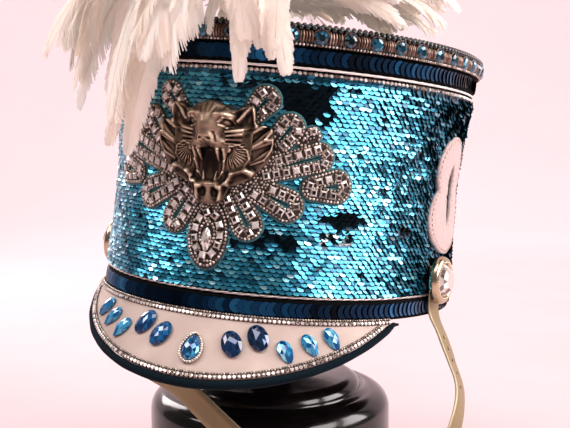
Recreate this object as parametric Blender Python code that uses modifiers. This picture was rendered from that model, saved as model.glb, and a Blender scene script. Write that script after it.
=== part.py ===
"""Marching band hat on a plain drum stand.

The stand is upright with its base centre at the origin, +Z up, front towards -Y. The hat has its own
frame, whose origin is the middle of the head opening: front towards -Y, the wearer's left towards +X.
An empty holds that frame above the stand, with the lean of the hat. A place on the wall is given by the
arc along the wall from the front centre, the height above the opening, and the distance out of the wall.
"""
import math

import bmesh
import bpy
import numpy as np
from mathutils import Matrix, Vector

MM = 0.001

# Crown
HALF_WIDTH = 88 * MM
HALF_LENGTH = 103 * MM
SHELL_WALL = 2.0 * MM
CLOTH_WALL = 1.0 * MM
FIT = 0.3 * MM
TOP_PLATE = 2.0 * MM
TOP_RECESS = 4.0 * MM
TOP_DOME = 1.0 * MM

# Trim stacked up the wall, each with one fit between it and the next
LOWER_BAND_HEIGHT = 8.6 * MM
LOWER_PIPING = 1.6 * MM
FIELD_HEIGHT = 94.0 * MM
UPPER_CHAIN = 2.2 * MM
UPPER_PIPING = 1.6 * MM
UPPER_BAND_HEIGHT = 7.8 * MM
BRAID_HEIGHT = 8.2 * MM
BRAID_BULGE = 2.2 * MM
BRAID_STONE = 7.0 * MM
BRAID_STONE_RISE = 1.8 * MM
BRAID_STONE_COUNT = 50

# Peak
PEAK_REACH = 34.8 * MM
PEAK_SPAN = math.radians(62)
PEAK_SLOPE = math.radians(55)
PEAK_BOARD = 1.6 * MM
PEAK_COVER = 1.0 * MM
PEAK_BINDING = 3.4 * MM
INNER_CHAIN = 2.2 * MM
INNER_CHAIN_REACH = 1.8 * MM
OUTER_CHAIN = 1.8 * MM
SHEET_END = 1.0 * MM

# Peak stones
OVAL_WIDTH = 9.0 * MM
OVAL_LENGTH = 12.4 * MM
DROP_WIDTH = 7.4 * MM
DROP_LENGTH = 11.0 * MM
MIDDLE_WIDTH = 8.6 * MM
MIDDLE_LENGTH = 11.6 * MM
STONE_RISE = 2.6 * MM
BEZEL_WIRE = 1.5 * MM

# Appliqué and cast head
APPLIQUE_HALF_WIDTH = 64.0 * MM
APPLIQUE_CENTRE = 62.0 * MM
BACKING = 0.8 * MM
BACKING_RIM = 0.8 * MM
RIBBON_RISE = 1.7 * MM
DROP_STONE_WIDTH = 4.8 * MM
DROP_STONE_LENGTH = 10.6 * MM
HEAD_HALF_SPAN = 27.0 * MM
HEAD_CENTRE = 71.0 * MM
HEAD_RISE = 10.0 * MM
HEAD_EDGE = 1.6 * MM

# Side pieces
BUTTON_ANGLE = math.radians(77)
BUTTON_HEIGHT = 17.0 * MM
BUTTON_WIDTH = 23.0 * MM
BUTTON_RISE = 4.6 * MM
CRYSTAL_WIDTH = 15.6 * MM
CRYSTAL_RISE = 4.8 * MM
PATCH_ANGLE = math.radians(84)
PATCH_CENTRE = 58.0 * MM
PATCH_WIDTH = 46.0 * MM
PATCH_HEIGHT = 58.0 * MM
PATCH_WALL = 2.0 * MM
PATCH_SEAT = 0.6 * MM
STRAP_WIDTH = 12.0 * MM
STRAP_WALL = 1.2 * MM
STRAP_SEAT = 1.1 * MM

# Plume
PLUME_HEIGHT = 135.0 * MM
PLUME_SEAT = 74.0 * MM
PLUME_HEAD_WIDTH = 28.0 * MM
PLUME_HEAD_HEIGHT = 30.0 * MM
LOCK_WIDTH = 34.0 * MM
LOCK_THICKNESS = 3.0 * MM

# Stand and the hat's place on it
HAT_HEIGHT = 140.0 * MM
HAT_SHIFT = (5.5 * MM, 2.0 * MM)
LEAN_BACK = math.radians(-3.1)
LEAN_SIDE = math.radians(4.0)
DRUM_RADIUS = 64.5 * MM
DRUM_HEIGHT = 86.0 * MM
DRUM_SHOULDER = 10.0 * MM
BOSS_RADIUS = 49.0 * MM
BOSS_HEIGHT = 7.0 * MM
POST_RADIUS = 12.0 * MM
STAND_HEAD_RADIUS = 36.0 * MM
STAND_HEAD_CURVE = 60.0 * MM
STAND_HEAD_EDGE = 6.0 * MM

# Facets
WALL_STEPS = 26
STAND_STEPS = 24
ROUND_STEPS = 18
PEAK_STEPS = 20
BEND_STEP = 12.0 * MM
BEZEL_SIDES = 14

MEAN_RADIUS = (HALF_WIDTH + HALF_LENGTH) / 2
ACROSS = HALF_WIDTH / MEAN_RADIUS
ALONG = HALF_LENGTH / MEAN_RADIUS

# Height of each trim's foot
LOWER_BAND_Z = FIT
LOWER_PIPING_Z = LOWER_BAND_Z + LOWER_BAND_HEIGHT + FIT
FIELD_Z = LOWER_PIPING_Z + LOWER_PIPING + FIT
UPPER_CHAIN_Z = FIELD_Z + FIELD_HEIGHT + FIT
UPPER_PIPING_Z = UPPER_CHAIN_Z + UPPER_CHAIN + FIT
UPPER_BAND_Z = UPPER_PIPING_Z + UPPER_PIPING + FIT
BRAID_Z = UPPER_BAND_Z + UPPER_BAND_HEIGHT + FIT
CROWN_HEIGHT = BRAID_Z + BRAID_HEIGHT
TOP_Z = CROWN_HEIGHT - TOP_RECESS

# Share of the crown's height, girth as a share of the girth at the opening
CROWN_PROFILE = ((0.00, 1.004), (0.30, 0.980), (0.50, 0.974), (0.68, 0.998), (0.86, 1.035), (1.00, 1.049))

# Right half of the appliqué's loops, as shares of its half width from its centre: foot across and up,
# tip across and up, radius at the foot and at the tip
LOOPS = (
    (0.20, 0.33, 0.34, 0.50, 0.060, 0.098),
    (0.36, 0.12, 0.51, 0.33, 0.070, 0.100),
    (0.60, 0.26, 0.66, 0.29, 0.050, 0.062),
    (0.30, 0.01, 0.72, 0.15, 0.080, 0.105),
    (0.70, -0.06, 0.86, -0.04, 0.085, 0.120),
    (0.32, -0.10, 0.53, -0.19, 0.090, 0.115),
    (0.12, -0.10, 0.27, -0.34, 0.090, 0.110),
)
# Slits in the loops, in the same shares: one end across and up, the other end, half the slit's width
SLITS = (
    (0.28, 0.37, 0.31, 0.42, 0.022),
    (0.44, 0.25, 0.51, 0.33, 0.013),
    (0.49, 0.03, 0.70, 0.13, 0.013),
    (0.81, -0.06, 0.85, -0.06, 0.018),
    (0.43, -0.18, 0.55, -0.17, 0.014),
    (0.18, -0.25, 0.29, -0.31, 0.022),
)
# The middle pad behind the cast head and the drop below it, as across, up, half width, half height
PADS = ((0.0, 0.10, 0.40, 0.36), (0.0, -0.43, 0.150, 0.24))
DROP_STONE_UP = -0.47

# Outline of the cast head: degrees from straight up, radius as a share of its half span
HEAD_OUTLINE = (
    (0, 0.80), (14, 0.77), (27, 0.74), (36, 0.90), (42, 0.99), (48, 0.93), (55, 0.83), (60, 0.90),
    (66, 1.03), (80, 0.99), (96, 0.92), (108, 0.82), (120, 0.78), (134, 0.70), (150, 0.64), (163, 0.82),
    (172, 0.87), (180, 0.86),
)
# Swells and hollows of the cast head: across, up, half width, half height, rise, as shares of its half
# span and, for the rise, of its full rise
HEAD_FORMS = (
    (0.00, 0.45, 0.42, 0.36, 0.60),
    (0.00, 0.16, 0.26, 0.30, 0.62),
    (0.26, 0.06, 0.22, 0.20, 0.30),
    (0.62, 0.66, 0.14, 0.22, 0.35),
    (0.84, 0.25, 0.20, 0.40, 0.22),
    (0.36, -0.16, 0.26, 0.24, 0.34),
    (0.30, 0.40, 0.13, 0.09, -0.30),
    (0.00, -0.30, 0.15, 0.24, -0.45),
    (0.00, -0.62, 0.26, 0.16, 0.45),
    (0.52, -0.48, 0.24, 0.12, 0.28),
    (0.14, -0.72, 0.07, 0.07, -0.35),
)
HEAD_RAYS = 36
HEAD_RINGS = (0.18, 0.36, 0.54, 0.72, 0.88, 1.0)

# Peak stones from the middle out: shape, degrees round from the middle, share of the peak's reach, and
# degrees that the stone's foot swings outward
PEAK_MIDDLE = math.radians(1.3)
PEAK_STONES = (
    ("oval", 9.6, 0.40, 22),
    ("oval", 15.9, 0.29, 21),
    ("drop", 22.7, 0.45, 24),
    ("drop", 28.9, 0.35, 27),
    ("drop", 34.8, 0.26, 22),
)

# Locks of the plume: tip across and forward, as shares of the half width and half length, and up from
# the crown's top, as a share of the plume's height; the bend's place in the same shares; width share
LOCKS = (
    (-0.50, 1.06, -0.45, -0.32, 1.24, 0.42, 0.60),
    (-0.80, 1.01, -0.26, -0.50, 1.24, 0.42, 0.70),
    (-0.98, 0.98, -0.12, -0.60, 1.18, 0.46, 0.80),
    (-0.22, 1.21, -0.19, -0.14, 1.24, 0.38, 1.00),
    (0.34, 1.22, -0.16, 0.20, 1.24, 0.34, 0.45),
    (-1.10, 0.60, 0.12, -0.65, 0.75, 0.56, 1.00),
    (-0.70, 0.90, 0.62, -0.30, 0.75, 0.55, 1.00),
    (0.05, 1.10, 0.72, 0.02, 0.85, 0.60, 1.00),
    (0.75, 0.85, 0.55, 0.35, 0.75, 0.50, 1.00),
    (1.02, 0.45, 0.18, 0.60, 0.60, 0.54, 1.00),
    (0.80, 0.05, 0.48, 0.35, 0.40, 0.55, 1.00),
    (0.10, 0.00, 0.72, 0.05, 0.35, 0.75, 1.00),
    (-0.75, 0.15, 0.55, -0.35, 0.40, 0.60, 1.00),
    (0.20, 0.66, 1.00, 0.05, 0.70, 0.70, 0.90),
    (-0.30, 0.55, 0.94, -0.10, 0.65, 0.70, 0.90),
)
# Share along a lock and the width and thickness there
LOCK_SECTIONS = ((0.0, 0.12), (0.20, 0.32), (0.45, 0.90), (0.75, 0.88), (1.0, 0.12))

# Chin strap's free run under the hat, from the wearer's right round to the left: millimetres in the
# hat's frame, then the way that the strap's face looks, as degrees round from the front and degrees down
STRAP_RUN = (
    (-92.0, -29.0, -9.0, -78, 0),
    (-87.0, -38.0, -19.0, -64, 20),
    (-73.0, -50.0, -30.0, -40, 26),
    (-48.0, -64.0, -38.0, -16, 22),
    (-21.6, -72.0, -43.7, 6, 14),
    (4.4, -76.5, -58.0, 12, 8),
    (30.0, -79.0, -73.0, 12, 12),
    (55.0, -78.0, -83.5, 14, 26),
    (78.0, -73.0, -84.5, 24, 34),
    (95.0, -66.0, -75.0, 42, 22),
    (103.5, -59.0, -60.0, 58, 8),
    (107.5, -50.0, -44.0, 70, 0),
    (106.0, -38.0, -31.0, 76, -4),
    (99.5, -30.5, -19.5, 78, -2),
    (93.5, -26.5, -9.0, 79, 0),
)
STRAP_STATIONS = 38
STRAP_TOP = 7.0 * MM


def make_collection(name):
    collection = bpy.data.collections.new(name)
    bpy.context.scene.collection.children.link(collection)
    return collection


def finish(name, colour, roughness, metallic=0.0):
    """A Principled material whose colour is an sRGB hex value."""
    channels = [int(colour[i:i + 2], 16) / 255 for i in (1, 3, 5)]
    linear = [c / 12.92 if c <= 0.04045 else ((c + 0.055) / 1.055) ** 2.4 for c in channels]
    material = bpy.data.materials.new(name)
    material.use_nodes = True
    shader = material.node_tree.nodes["Principled BSDF"]
    shader.inputs["Base Color"].default_value = (*linear, 1)
    shader.inputs["Roughness"].default_value = roughness
    shader.inputs["Metallic"].default_value = metallic
    material.diffuse_color = (*linear, 1)
    return material


def place(name, data, material, parent, collection):
    obj = bpy.data.objects.new(name, data)
    if material is not None:
        data.materials.append(material)
    obj.parent = parent
    collection.objects.link(obj)
    return obj


def from_bmesh(name, shape, material, parent, collection):
    bmesh.ops.recalc_face_normals(shape, faces=shape.faces)
    if shape.calc_volume(signed=True) < 0:
        bmesh.ops.reverse_faces(shape, faces=shape.faces)
    mesh = bpy.data.meshes.new(name)
    shape.to_mesh(mesh)
    shape.free()
    return place(name, mesh, material, parent, collection)


def girth(z):
    shares, girths = zip(*CROWN_PROFILE)
    return float(np.interp(z / CROWN_HEIGHT, shares, girths))


def wall_radius(z, out=0.0):
    """Radius of the wall before it is stretched from a circle to the head's oval."""
    return MEAN_RADIUS * girth(z) + out


def wall_normal(angle):
    return Vector((math.sin(angle) / HALF_WIDTH, -math.cos(angle) / HALF_LENGTH, 0)).normalized()


def on_wall(angle, z, out=0.0):
    radius = wall_radius(z)
    point = Vector((radius * ACROSS * math.sin(angle), -radius * ALONG * math.cos(angle), z))
    return point + wall_normal(angle) * out


def arc_table():
    angles = np.linspace(-math.pi, math.pi, 721)
    speed = np.hypot(HALF_WIDTH * np.cos(angles), HALF_LENGTH * np.sin(angles))
    arcs = np.concatenate(([0.0], np.cumsum((speed[1:] + speed[:-1]) / 2 * np.diff(angles))))
    return angles, arcs - np.interp(0.0, angles, arcs)


ARC_ANGLES, ARC_LENGTHS = arc_table()


def angle_at(arc):
    return float(np.interp(arc, ARC_LENGTHS, ARC_ANGLES))


def arc_at(angle):
    return float(np.interp(angle, ARC_ANGLES, ARC_LENGTHS))


def wrap(shape, arc, height, out):
    """Bends a flat shape, drawn as across, up and out, round the wall about the place arc and height."""
    for vert in shape.verts:
        across, up, rise = vert.co
        vert.co = on_wall(angle_at(arc + across), height + up, out + rise)


def slice_for_wall(shape, half_width, height):
    """Cuts a flat shape into upright strips, and where the wall changes slope, so that it can bend."""
    count = int(half_width / BEND_STEP)
    cuts = [((i * BEND_STEP, 0, 0), (1, 0, 0)) for i in range(-count, count + 1)]
    cuts += [((0, z - height, 0), (0, 1, 0)) for z in wall_heights(0.0, CROWN_HEIGHT)[1:-1]]
    for point, normal in cuts:
        geometry = shape.verts[:] + shape.edges[:] + shape.faces[:]
        bmesh.ops.bisect_plane(shape, geom=geometry, dist=1e-6, plane_co=point, plane_no=normal)


def turned(name, profile, material, parent, collection, steps, ring=False, oval=True):
    """Turns a profile of radius and height about +Z; a ring's profile is a closed loop."""
    mesh = bpy.data.meshes.new(name)
    count = len(profile)
    edges = [(i, i + 1) for i in range(count - 1)]
    if ring:
        edges.append((count - 1, 0))
    mesh.from_pydata([(radius, 0, z) for radius, z in profile], edges, [])
    obj = place(name, mesh, material, parent, collection)
    screw = obj.modifiers.new("Turn", "SCREW")
    screw.axis = "Z"
    screw.angle = math.tau
    screw.steps = screw.render_steps = steps
    screw.use_merge_vertices = True
    screw.merge_threshold = 0.00001
    screw.use_smooth_shade = True
    if oval:
        obj.scale = (ACROSS, ALONG, 1)
    return obj


def wall_heights(low, high):
    """The heights where the wall changes slope, between two ends, from the top down."""
    between = [share * CROWN_HEIGHT for share, _ in CROWN_PROFILE if low < share * CROWN_HEIGHT < high]
    return [high, *reversed(between), low]


def wall_sleeve(name, low, high, outer, inner, material, parent, collection):
    heights = wall_heights(low, high)
    profile = [(wall_radius(z, outer), z) for z in heights]
    profile += [(wall_radius(z, inner), z) for z in reversed(heights)]
    return turned(name, profile, material, parent, collection, WALL_STEPS, ring=True)


def wall_roll(name, foot, diameter, sides, material, parent, collection):
    """A roll of piping or chain that lies on the shell, between its neighbours."""
    radius = diameter / 2
    middle = foot + radius
    centre = wall_radius(middle, -CLOTH_WALL + radius)
    profile = []
    for i in range(sides):
        turn = math.tau * (i + 0.5) / sides
        profile.append((centre + radius * math.sin(turn), middle + radius * math.cos(turn)))
    return turned(name, profile, material, parent, collection, WALL_STEPS, ring=True)


def tube(name, points, diameter, material, parent, collection, cyclic=False):
    curve = bpy.data.curves.new(name, "CURVE")
    curve.dimensions = "3D"
    curve.bevel_depth = diameter / 2
    curve.bevel_resolution = 1
    curve.use_fill_caps = True
    curve.render_resolution_u = 0
    spline = curve.splines.new("POLY")
    spline.points.add(len(points) - 1)
    for target, point in zip(spline.points, points):
        target.co = (*point, 1)
    spline.use_cyclic_u = cyclic
    return place(name, curve, material, parent, collection)


def evaluated_mesh(obj):
    bpy.context.view_layer.update()
    graph = bpy.context.evaluated_depsgraph_get()
    return bpy.data.meshes.new_from_object(obj.evaluated_get(graph))


def remove(obj):
    bpy.data.objects.remove(obj)


def combine(base, operands, operation):
    """Applies Booleans to the base, one for each operand, and removes the operands."""
    for operand in operands:
        boolean = base.modifiers.new("Combine", "BOOLEAN")
        boolean.operation = operation
        boolean.solver = "EXACT"
        boolean.object = operand
    mesh = evaluated_mesh(base)
    for operand in operands:
        remove(operand)
    base.modifiers.clear()
    base.data = mesh
    return base


def cut_stone(name, width, length, rise, material, parent, collection, shape="oval", table=0.55):
    """A flat-backed stone with twelve facets round its table; its foot points along -Y."""
    stone = bmesh.new()
    bmesh.ops.create_cone(stone, cap_ends=True, segments=12, radius1=1, radius2=table, depth=1)
    for vert in stone.verts:
        x, y, z = vert.co
        scale = math.hypot(x, y)
        along = y / scale
        pinch = {"oval": 0.0, "drop": 0.42 * ((1 - along) / 2) ** 2, "marquise": 0.3 * along ** 2}[shape]
        vert.co = (x * width / 2 * (1 - pinch), y * length / 2, (z + 0.5) * rise)
    return from_bmesh(name, stone, material, parent, collection)


def frame_from(origin, sideways, upward, outward):
    matrix = Matrix((sideways, upward, outward)).transposed().to_4x4()
    matrix.translation = origin
    return matrix


def wall_frame(angle, z, out):
    """A frame on the wall: x along it, y up it and z straight out of it, with the wall's own slope."""
    upward = (on_wall(angle, z + MM) - on_wall(angle, z - MM)).normalized()
    sideways = upward.cross(wall_normal(angle)).normalized()
    outward = sideways.cross(upward)
    return frame_from(on_wall(angle, z) + outward * out, sideways, upward, outward)


def build_stand(hat, material, collection):
    """A drum with a rounded shoulder and a boss, and a post with a domed head under the crown's top."""
    normal = hat.matrix_basis.to_3x3() @ Vector((0, 0, 1))
    underside = TOP_Z - TOP_PLATE
    reach = hat.location.dot(normal) + underside - STAND_HEAD_CURVE - FIT
    dome_z = reach / normal.z
    rim_turn = math.asin(STAND_HEAD_RADIUS / STAND_HEAD_CURVE)
    profile = []
    for i in range(5):
        turn = rim_turn * i / 4
        profile.append((STAND_HEAD_CURVE * math.sin(turn), dome_z + STAND_HEAD_CURVE * math.cos(turn)))
    rim_z = profile[-1][1]
    profile.append((STAND_HEAD_RADIUS, rim_z - STAND_HEAD_EDGE))
    profile.append((POST_RADIUS, rim_z - 2.5 * STAND_HEAD_EDGE))
    profile.append((POST_RADIUS, DRUM_HEIGHT + BOSS_HEIGHT))
    profile.append((BOSS_RADIUS - BOSS_HEIGHT, DRUM_HEIGHT + BOSS_HEIGHT))
    profile.append((BOSS_RADIUS, DRUM_HEIGHT))
    for i in range(4):
        turn = math.pi / 2 * i / 3
        profile.append((DRUM_RADIUS - DRUM_SHOULDER * (1 - math.sin(turn)),
                        DRUM_HEIGHT - DRUM_SHOULDER * (1 - math.cos(turn))))
    profile.append((DRUM_RADIUS, 0.0))
    profile.append((0.0, 0.0))
    turned("stand", profile, material, None, collection, STAND_STEPS, oval=False)


def build_crown(hat, finishes, collection):
    outer = -CLOTH_WALL - FIT
    inner = outer - SHELL_WALL
    wall_sleeve("crown_shell", 0.0, CROWN_HEIGHT - FIT, outer, inner, finishes["buckram"], hat, collection)
    underside = TOP_Z - TOP_PLATE
    profile = ((0.0, TOP_Z + TOP_DOME), (wall_radius(TOP_Z, inner - FIT), TOP_Z),
               (wall_radius(underside, inner - FIT), underside), (0.0, underside))
    turned("crown_top", profile, finishes["buckram"], hat, collection, WALL_STEPS)
    back = -CLOTH_WALL
    wall_sleeve("sequin_cloth", FIELD_Z, FIELD_Z + FIELD_HEIGHT, 0.0, back, finishes["turquoise"], hat,
                collection)
    wall_sleeve("lower_band", LOWER_BAND_Z, LOWER_BAND_Z + LOWER_BAND_HEIGHT, 0.0, back,
                finishes["navy"], hat, collection)
    wall_sleeve("upper_band", UPPER_BAND_Z, UPPER_BAND_Z + UPPER_BAND_HEIGHT, 0.0, back,
                finishes["navy"], hat, collection)
    wall_roll("lower_piping", LOWER_PIPING_Z, LOWER_PIPING, 4, finishes["silver"], hat, collection)
    wall_roll("upper_piping", UPPER_PIPING_Z, UPPER_PIPING, 4, finishes["piping"], hat, collection)
    wall_roll("upper_chain", UPPER_CHAIN_Z, UPPER_CHAIN, 5, finishes["silver"], hat, collection)


def build_rim_braid(hat, material, collection):
    """A rounded braid round the top of the wall, with the round stones fused to its face."""
    top = BRAID_Z + BRAID_HEIGHT
    soft = BRAID_HEIGHT / 4
    profile = ((-CLOTH_WALL, top), (BRAID_BULGE / 2, top), (BRAID_BULGE, top - soft),
               (BRAID_BULGE, BRAID_Z + soft), (BRAID_BULGE / 2, BRAID_Z), (-CLOTH_WALL, BRAID_Z))
    profile = [(wall_radius(z, out), z) for out, z in profile]
    braid = turned("rim_braid", profile, material, hat, collection, WALL_STEPS, ring=True)
    stones = bmesh.new()
    sunk = BRAID_BULGE / 2
    height = BRAID_STONE_RISE + sunk
    middle = BRAID_Z + BRAID_HEIGHT / 2
    for i in range(BRAID_STONE_COUNT):
        angle = angle_at(ARC_LENGTHS[-1] * (2 * (i + 0.5) / BRAID_STONE_COUNT - 1))
        outward = wall_normal(angle)
        upward = Vector((0, 0, 1))
        seat = on_wall(angle, middle, BRAID_BULGE - sunk + height / 2)
        matrix = frame_from(seat, upward.cross(outward), upward, outward)
        bmesh.ops.create_cone(stones, cap_ends=True, segments=8, radius1=BRAID_STONE / 2,
                              radius2=BRAID_STONE / 3.4, depth=height, matrix=matrix)
    stones = from_bmesh("braid_stones", stones, None, hat, collection)
    combine(braid, [stones], "UNION")


def peak_point(angle, reach, lift):
    outward = wall_normal(angle)
    slope = outward * math.cos(PEAK_SLOPE) - Vector((0, 0, math.sin(PEAK_SLOPE)))
    return on_wall(angle, 0.0) + slope * reach + peak_up(angle) * lift


def peak_up(angle):
    return wall_normal(angle) * math.sin(PEAK_SLOPE) + Vector((0, 0, math.cos(PEAK_SLOPE)))


def peak_edge(angle):
    return PEAK_REACH * math.cos(math.pi / 2 * angle / PEAK_SPAN)


def angle_of_edge(reach):
    """The angle where the peak has come down to this reach."""
    return PEAK_SPAN * math.acos(reach / PEAK_REACH) / (math.pi / 2)


def peak_angles(limit, count):
    return [limit * (2 * i / count - 1) for i in range(count + 1)]


def peak_sheet(name, start, inset, lift, wall, material, hat, collection):
    """A sheet over the peak, thickened upward from its lower face."""
    sheet = bmesh.new()
    rows = []
    for angle in peak_angles(angle_of_edge(start + inset + SHEET_END), PEAK_STEPS):
        reaches = (start, peak_edge(angle) - inset)
        rows.append([sheet.verts.new(peak_point(angle, reach, lift)) for reach in reaches])
    for left, right in zip(rows[:-1], rows[1:]):
        sheet.faces.new((left[0], left[1], right[1], right[0]))
    mesh = bpy.data.meshes.new(name)
    sheet.to_mesh(mesh)
    sheet.free()
    obj = place(name, mesh, material, hat, collection)
    solid = obj.modifiers.new("Thickness", "SOLIDIFY")
    solid.thickness = wall
    solid.offset = 1
    solid.use_even_offset = True
    return obj


def build_peak(hat, finishes, collection):
    cover_top = FIT + PEAK_COVER
    inset = PEAK_BINDING + FIT
    peak_sheet("visor_board", 0.0, inset, -PEAK_BOARD, PEAK_BOARD, finishes["board"], hat, collection)
    peak_sheet("visor_cover", 1.5 * FIT, inset, FIT, PEAK_COVER, finishes["satin"], hat, collection)
    hug = PEAK_BINDING / 2 + 2 * FIT
    run = [peak_point(a, max(peak_edge(a) - PEAK_BINDING / 2, hug), 0.0)
           for a in peak_angles(PEAK_SPAN, PEAK_STEPS + 6)]
    tube("visor_binding", run, PEAK_BINDING, finishes["velvet"], hat, collection)
    inner_lift = cover_top + FIT + INNER_CHAIN / 2
    limit = angle_of_edge(INNER_CHAIN_REACH + inset)
    run = [peak_point(a, INNER_CHAIN_REACH, inner_lift) for a in peak_angles(limit, PEAK_STEPS)]
    tube("visor_inner_chain", run, INNER_CHAIN, finishes["silver"], hat, collection)
    outer_inset = inset + OUTER_CHAIN / 2
    apart = (INNER_CHAIN + OUTER_CHAIN) / 2 + FIT
    outer_lift = cover_top + FIT + OUTER_CHAIN / 2
    limit = angle_of_edge(INNER_CHAIN_REACH + apart + outer_inset)
    run = [peak_point(a, peak_edge(a) - outer_inset, outer_lift) for a in peak_angles(limit, PEAK_STEPS)]
    tube("visor_outer_chain", run, OUTER_CHAIN, finishes["silver"], hat, collection)


def seat_on_peak(obj, angle, share, swing):
    """Seats a stone on the cover; its foot points down the slope, swung outward by an angle."""
    upward = peak_up(angle)
    outward = wall_normal(angle)
    slope = outward * math.cos(PEAK_SLOPE) - Vector((0, 0, math.sin(PEAK_SLOPE)))
    lift = FIT + PEAK_COVER + FIT
    seat = peak_point(angle, share * PEAK_REACH, lift)
    frame = frame_from(seat, upward.cross(slope), -slope, upward)
    obj.matrix_local = frame @ Matrix.Rotation(swing, 4, "Z")


def build_peak_stones(hat, finishes, collection):
    sizes = {"oval": (OVAL_WIDTH, OVAL_LENGTH), "drop": (DROP_WIDTH, DROP_LENGTH)}
    for number, (shape, degrees, share, swing) in enumerate(PEAK_STONES, start=1):
        for side, name in ((1, "left"), (-1, "right")):
            width, length = sizes[shape]
            angle = PEAK_MIDDLE + side * math.radians(degrees)
            stone = cut_stone(f"peak_stone_{name}_{number}", width, length, STONE_RISE,
                              finishes["sapphire"], hat, collection, shape)
            seat_on_peak(stone, angle, share, side * math.radians(swing))
    stone = cut_stone("peak_stone_middle", MIDDLE_WIDTH, MIDDLE_LENGTH, STONE_RISE, finishes["sapphire"],
                      hat, collection, "drop")
    middle_share = 0.51
    seat_on_peak(stone, PEAK_MIDDLE, middle_share, math.pi)
    ring = []
    room = BEZEL_WIRE / 2 + FIT
    for i in range(BEZEL_SIDES):
        turn = math.tau * i / BEZEL_SIDES
        along = math.sin(turn)
        pinch = 0.42 * ((1 - along) / 2) ** 2
        ring.append((math.cos(turn) * (MIDDLE_WIDTH / 2 * (1 - pinch) + room),
                     along * (MIDDLE_LENGTH / 2 + room), BEZEL_WIRE / 2))
    bezel = tube("peak_stone_bezel", ring, BEZEL_WIRE, finishes["silver"], hat, collection, cyclic=True)
    seat_on_peak(bezel, PEAK_MIDDLE, middle_share, math.pi)


def rounded_bar(foot, tip, foot_radius, tip_radius, low, high, ends=4):
    """A flat bar with round ends, between two heights."""
    bar = bmesh.new()
    way = math.atan2(tip[1] - foot[1], tip[0] - foot[0])
    outline = []
    for centre, radius, start in ((tip, tip_radius, -90), (foot, foot_radius, 90)):
        for i in range(ends):
            turn = way + math.radians(start + 180 * i / (ends - 1))
            outline.append((centre[0] + radius * math.cos(turn), centre[1] + radius * math.sin(turn)))
    face = bar.faces.new([bar.verts.new((x, y, low)) for x, y in outline])
    top = bmesh.ops.extrude_face_region(bar, geom=[face])
    raised = [item for item in top["geom"] if isinstance(item, bmesh.types.BMVert)]
    bmesh.ops.translate(bar, verts=raised, vec=(0, 0, high - low))
    return bar


def oval_plate(across, up, half_width, half_height, low, high, sides=14):
    plate = bmesh.new()
    bmesh.ops.create_cone(plate, cap_ends=True, segments=sides, radius1=1, radius2=1, depth=high - low)
    for vert in plate.verts:
        vert.co = (across + vert.co.x * half_width, up + vert.co.y * half_height,
                   vert.co.z + (low + high) / 2)
    return plate


def build_applique(hat, finishes, collection, cutters):
    """Backing and raised loops, drawn flat, made one body, sliced and bent round the wall."""
    unit = APPLIQUE_HALF_WIDTH
    top = BACKING + RIBBON_RISE
    pieces = []
    for side in (1, -1):
        for foot_x, foot_y, tip_x, tip_y, foot_radius, tip_radius in LOOPS:
            foot = (side * foot_x * unit, foot_y * unit)
            tip = (side * tip_x * unit, tip_y * unit)
            pieces.append(rounded_bar(foot, tip, foot_radius * unit, tip_radius * unit, BACKING / 2, top))
            pieces.append(rounded_bar(foot, tip, foot_radius * unit + BACKING_RIM,
                                      tip_radius * unit + BACKING_RIM, 0.0, BACKING))
    for across, up, half_width, half_height in PADS:
        pieces.append(oval_plate(across * unit, up * unit, half_width * unit, half_height * unit,
                                 BACKING / 2, top))
        pieces.append(oval_plate(across * unit, up * unit, half_width * unit + BACKING_RIM,
                                 half_height * unit + BACKING_RIM, 0.0, BACKING))
    slits = []
    for side in (1, -1):
        for x1, y1, x2, y2, half_width in SLITS:
            slits.append(rounded_bar((side * x1 * unit, y1 * unit), (side * x2 * unit, y2 * unit),
                                     half_width * unit, half_width * unit, BACKING, top + BACKING, ends=3))
    room = 2 * FIT
    slits.append(oval_plate(0.0, DROP_STONE_UP * unit, DROP_STONE_WIDTH / 2 + room,
                            DROP_STONE_LENGTH / 2 + room, BACKING, top + BACKING, sides=12))
    parts = [from_bmesh(f"applique_part_{i}", piece, None, hat, cutters) for i, piece in enumerate(pieces)]
    holes = [from_bmesh(f"applique_slit_{i}", slit, None, hat, cutters) for i, slit in enumerate(slits)]
    for guide in parts + holes:
        guide.hide_render = True
        guide.display_type = "WIRE"
    body = combine(parts[0], parts[1:], "UNION")
    body = combine(body, holes, "DIFFERENCE")
    shape = bmesh.new()
    shape.from_mesh(body.data)
    remove(body)
    bmesh.ops.dissolve_limit(shape, angle_limit=0.01, verts=shape.verts, edges=shape.edges)
    slice_for_wall(shape, unit, APPLIQUE_CENTRE)
    bmesh.ops.triangulate(shape, faces=shape.faces)
    wrap(shape, 0.0, APPLIQUE_CENTRE, PATCH_SEAT)
    from_bmesh("applique", shape, finishes["applique"], hat, collection)
    stone_up = APPLIQUE_CENTRE + DROP_STONE_UP * unit
    stone = cut_stone("applique_drop_stone", DROP_STONE_WIDTH, DROP_STONE_LENGTH, STONE_RISE,
                      finishes["crystal"], hat, collection, "marquise")
    stone.matrix_local = wall_frame(0.0, stone_up, PATCH_SEAT + BACKING + FIT)


def head_radius(turn):
    degrees, shares = zip(*HEAD_OUTLINE)
    return HEAD_HALF_SPAN * float(np.interp(abs(math.degrees(turn)), degrees, shares))


def head_rise(across, up, edge):
    """Height of the cast relief over its back; edge runs from 0 in the middle to 1 at the outline."""
    total = 0.0
    for x, y, half_width, half_height, rise in HEAD_FORMS:
        distance = ((abs(across) - x) / half_width) ** 2 + ((up - y) / half_height) ** 2
        total += rise * math.exp(-distance)
    fade = 1 - edge ** 6
    return HEAD_EDGE + HEAD_RISE * max(total, 0.05) * fade


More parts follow.
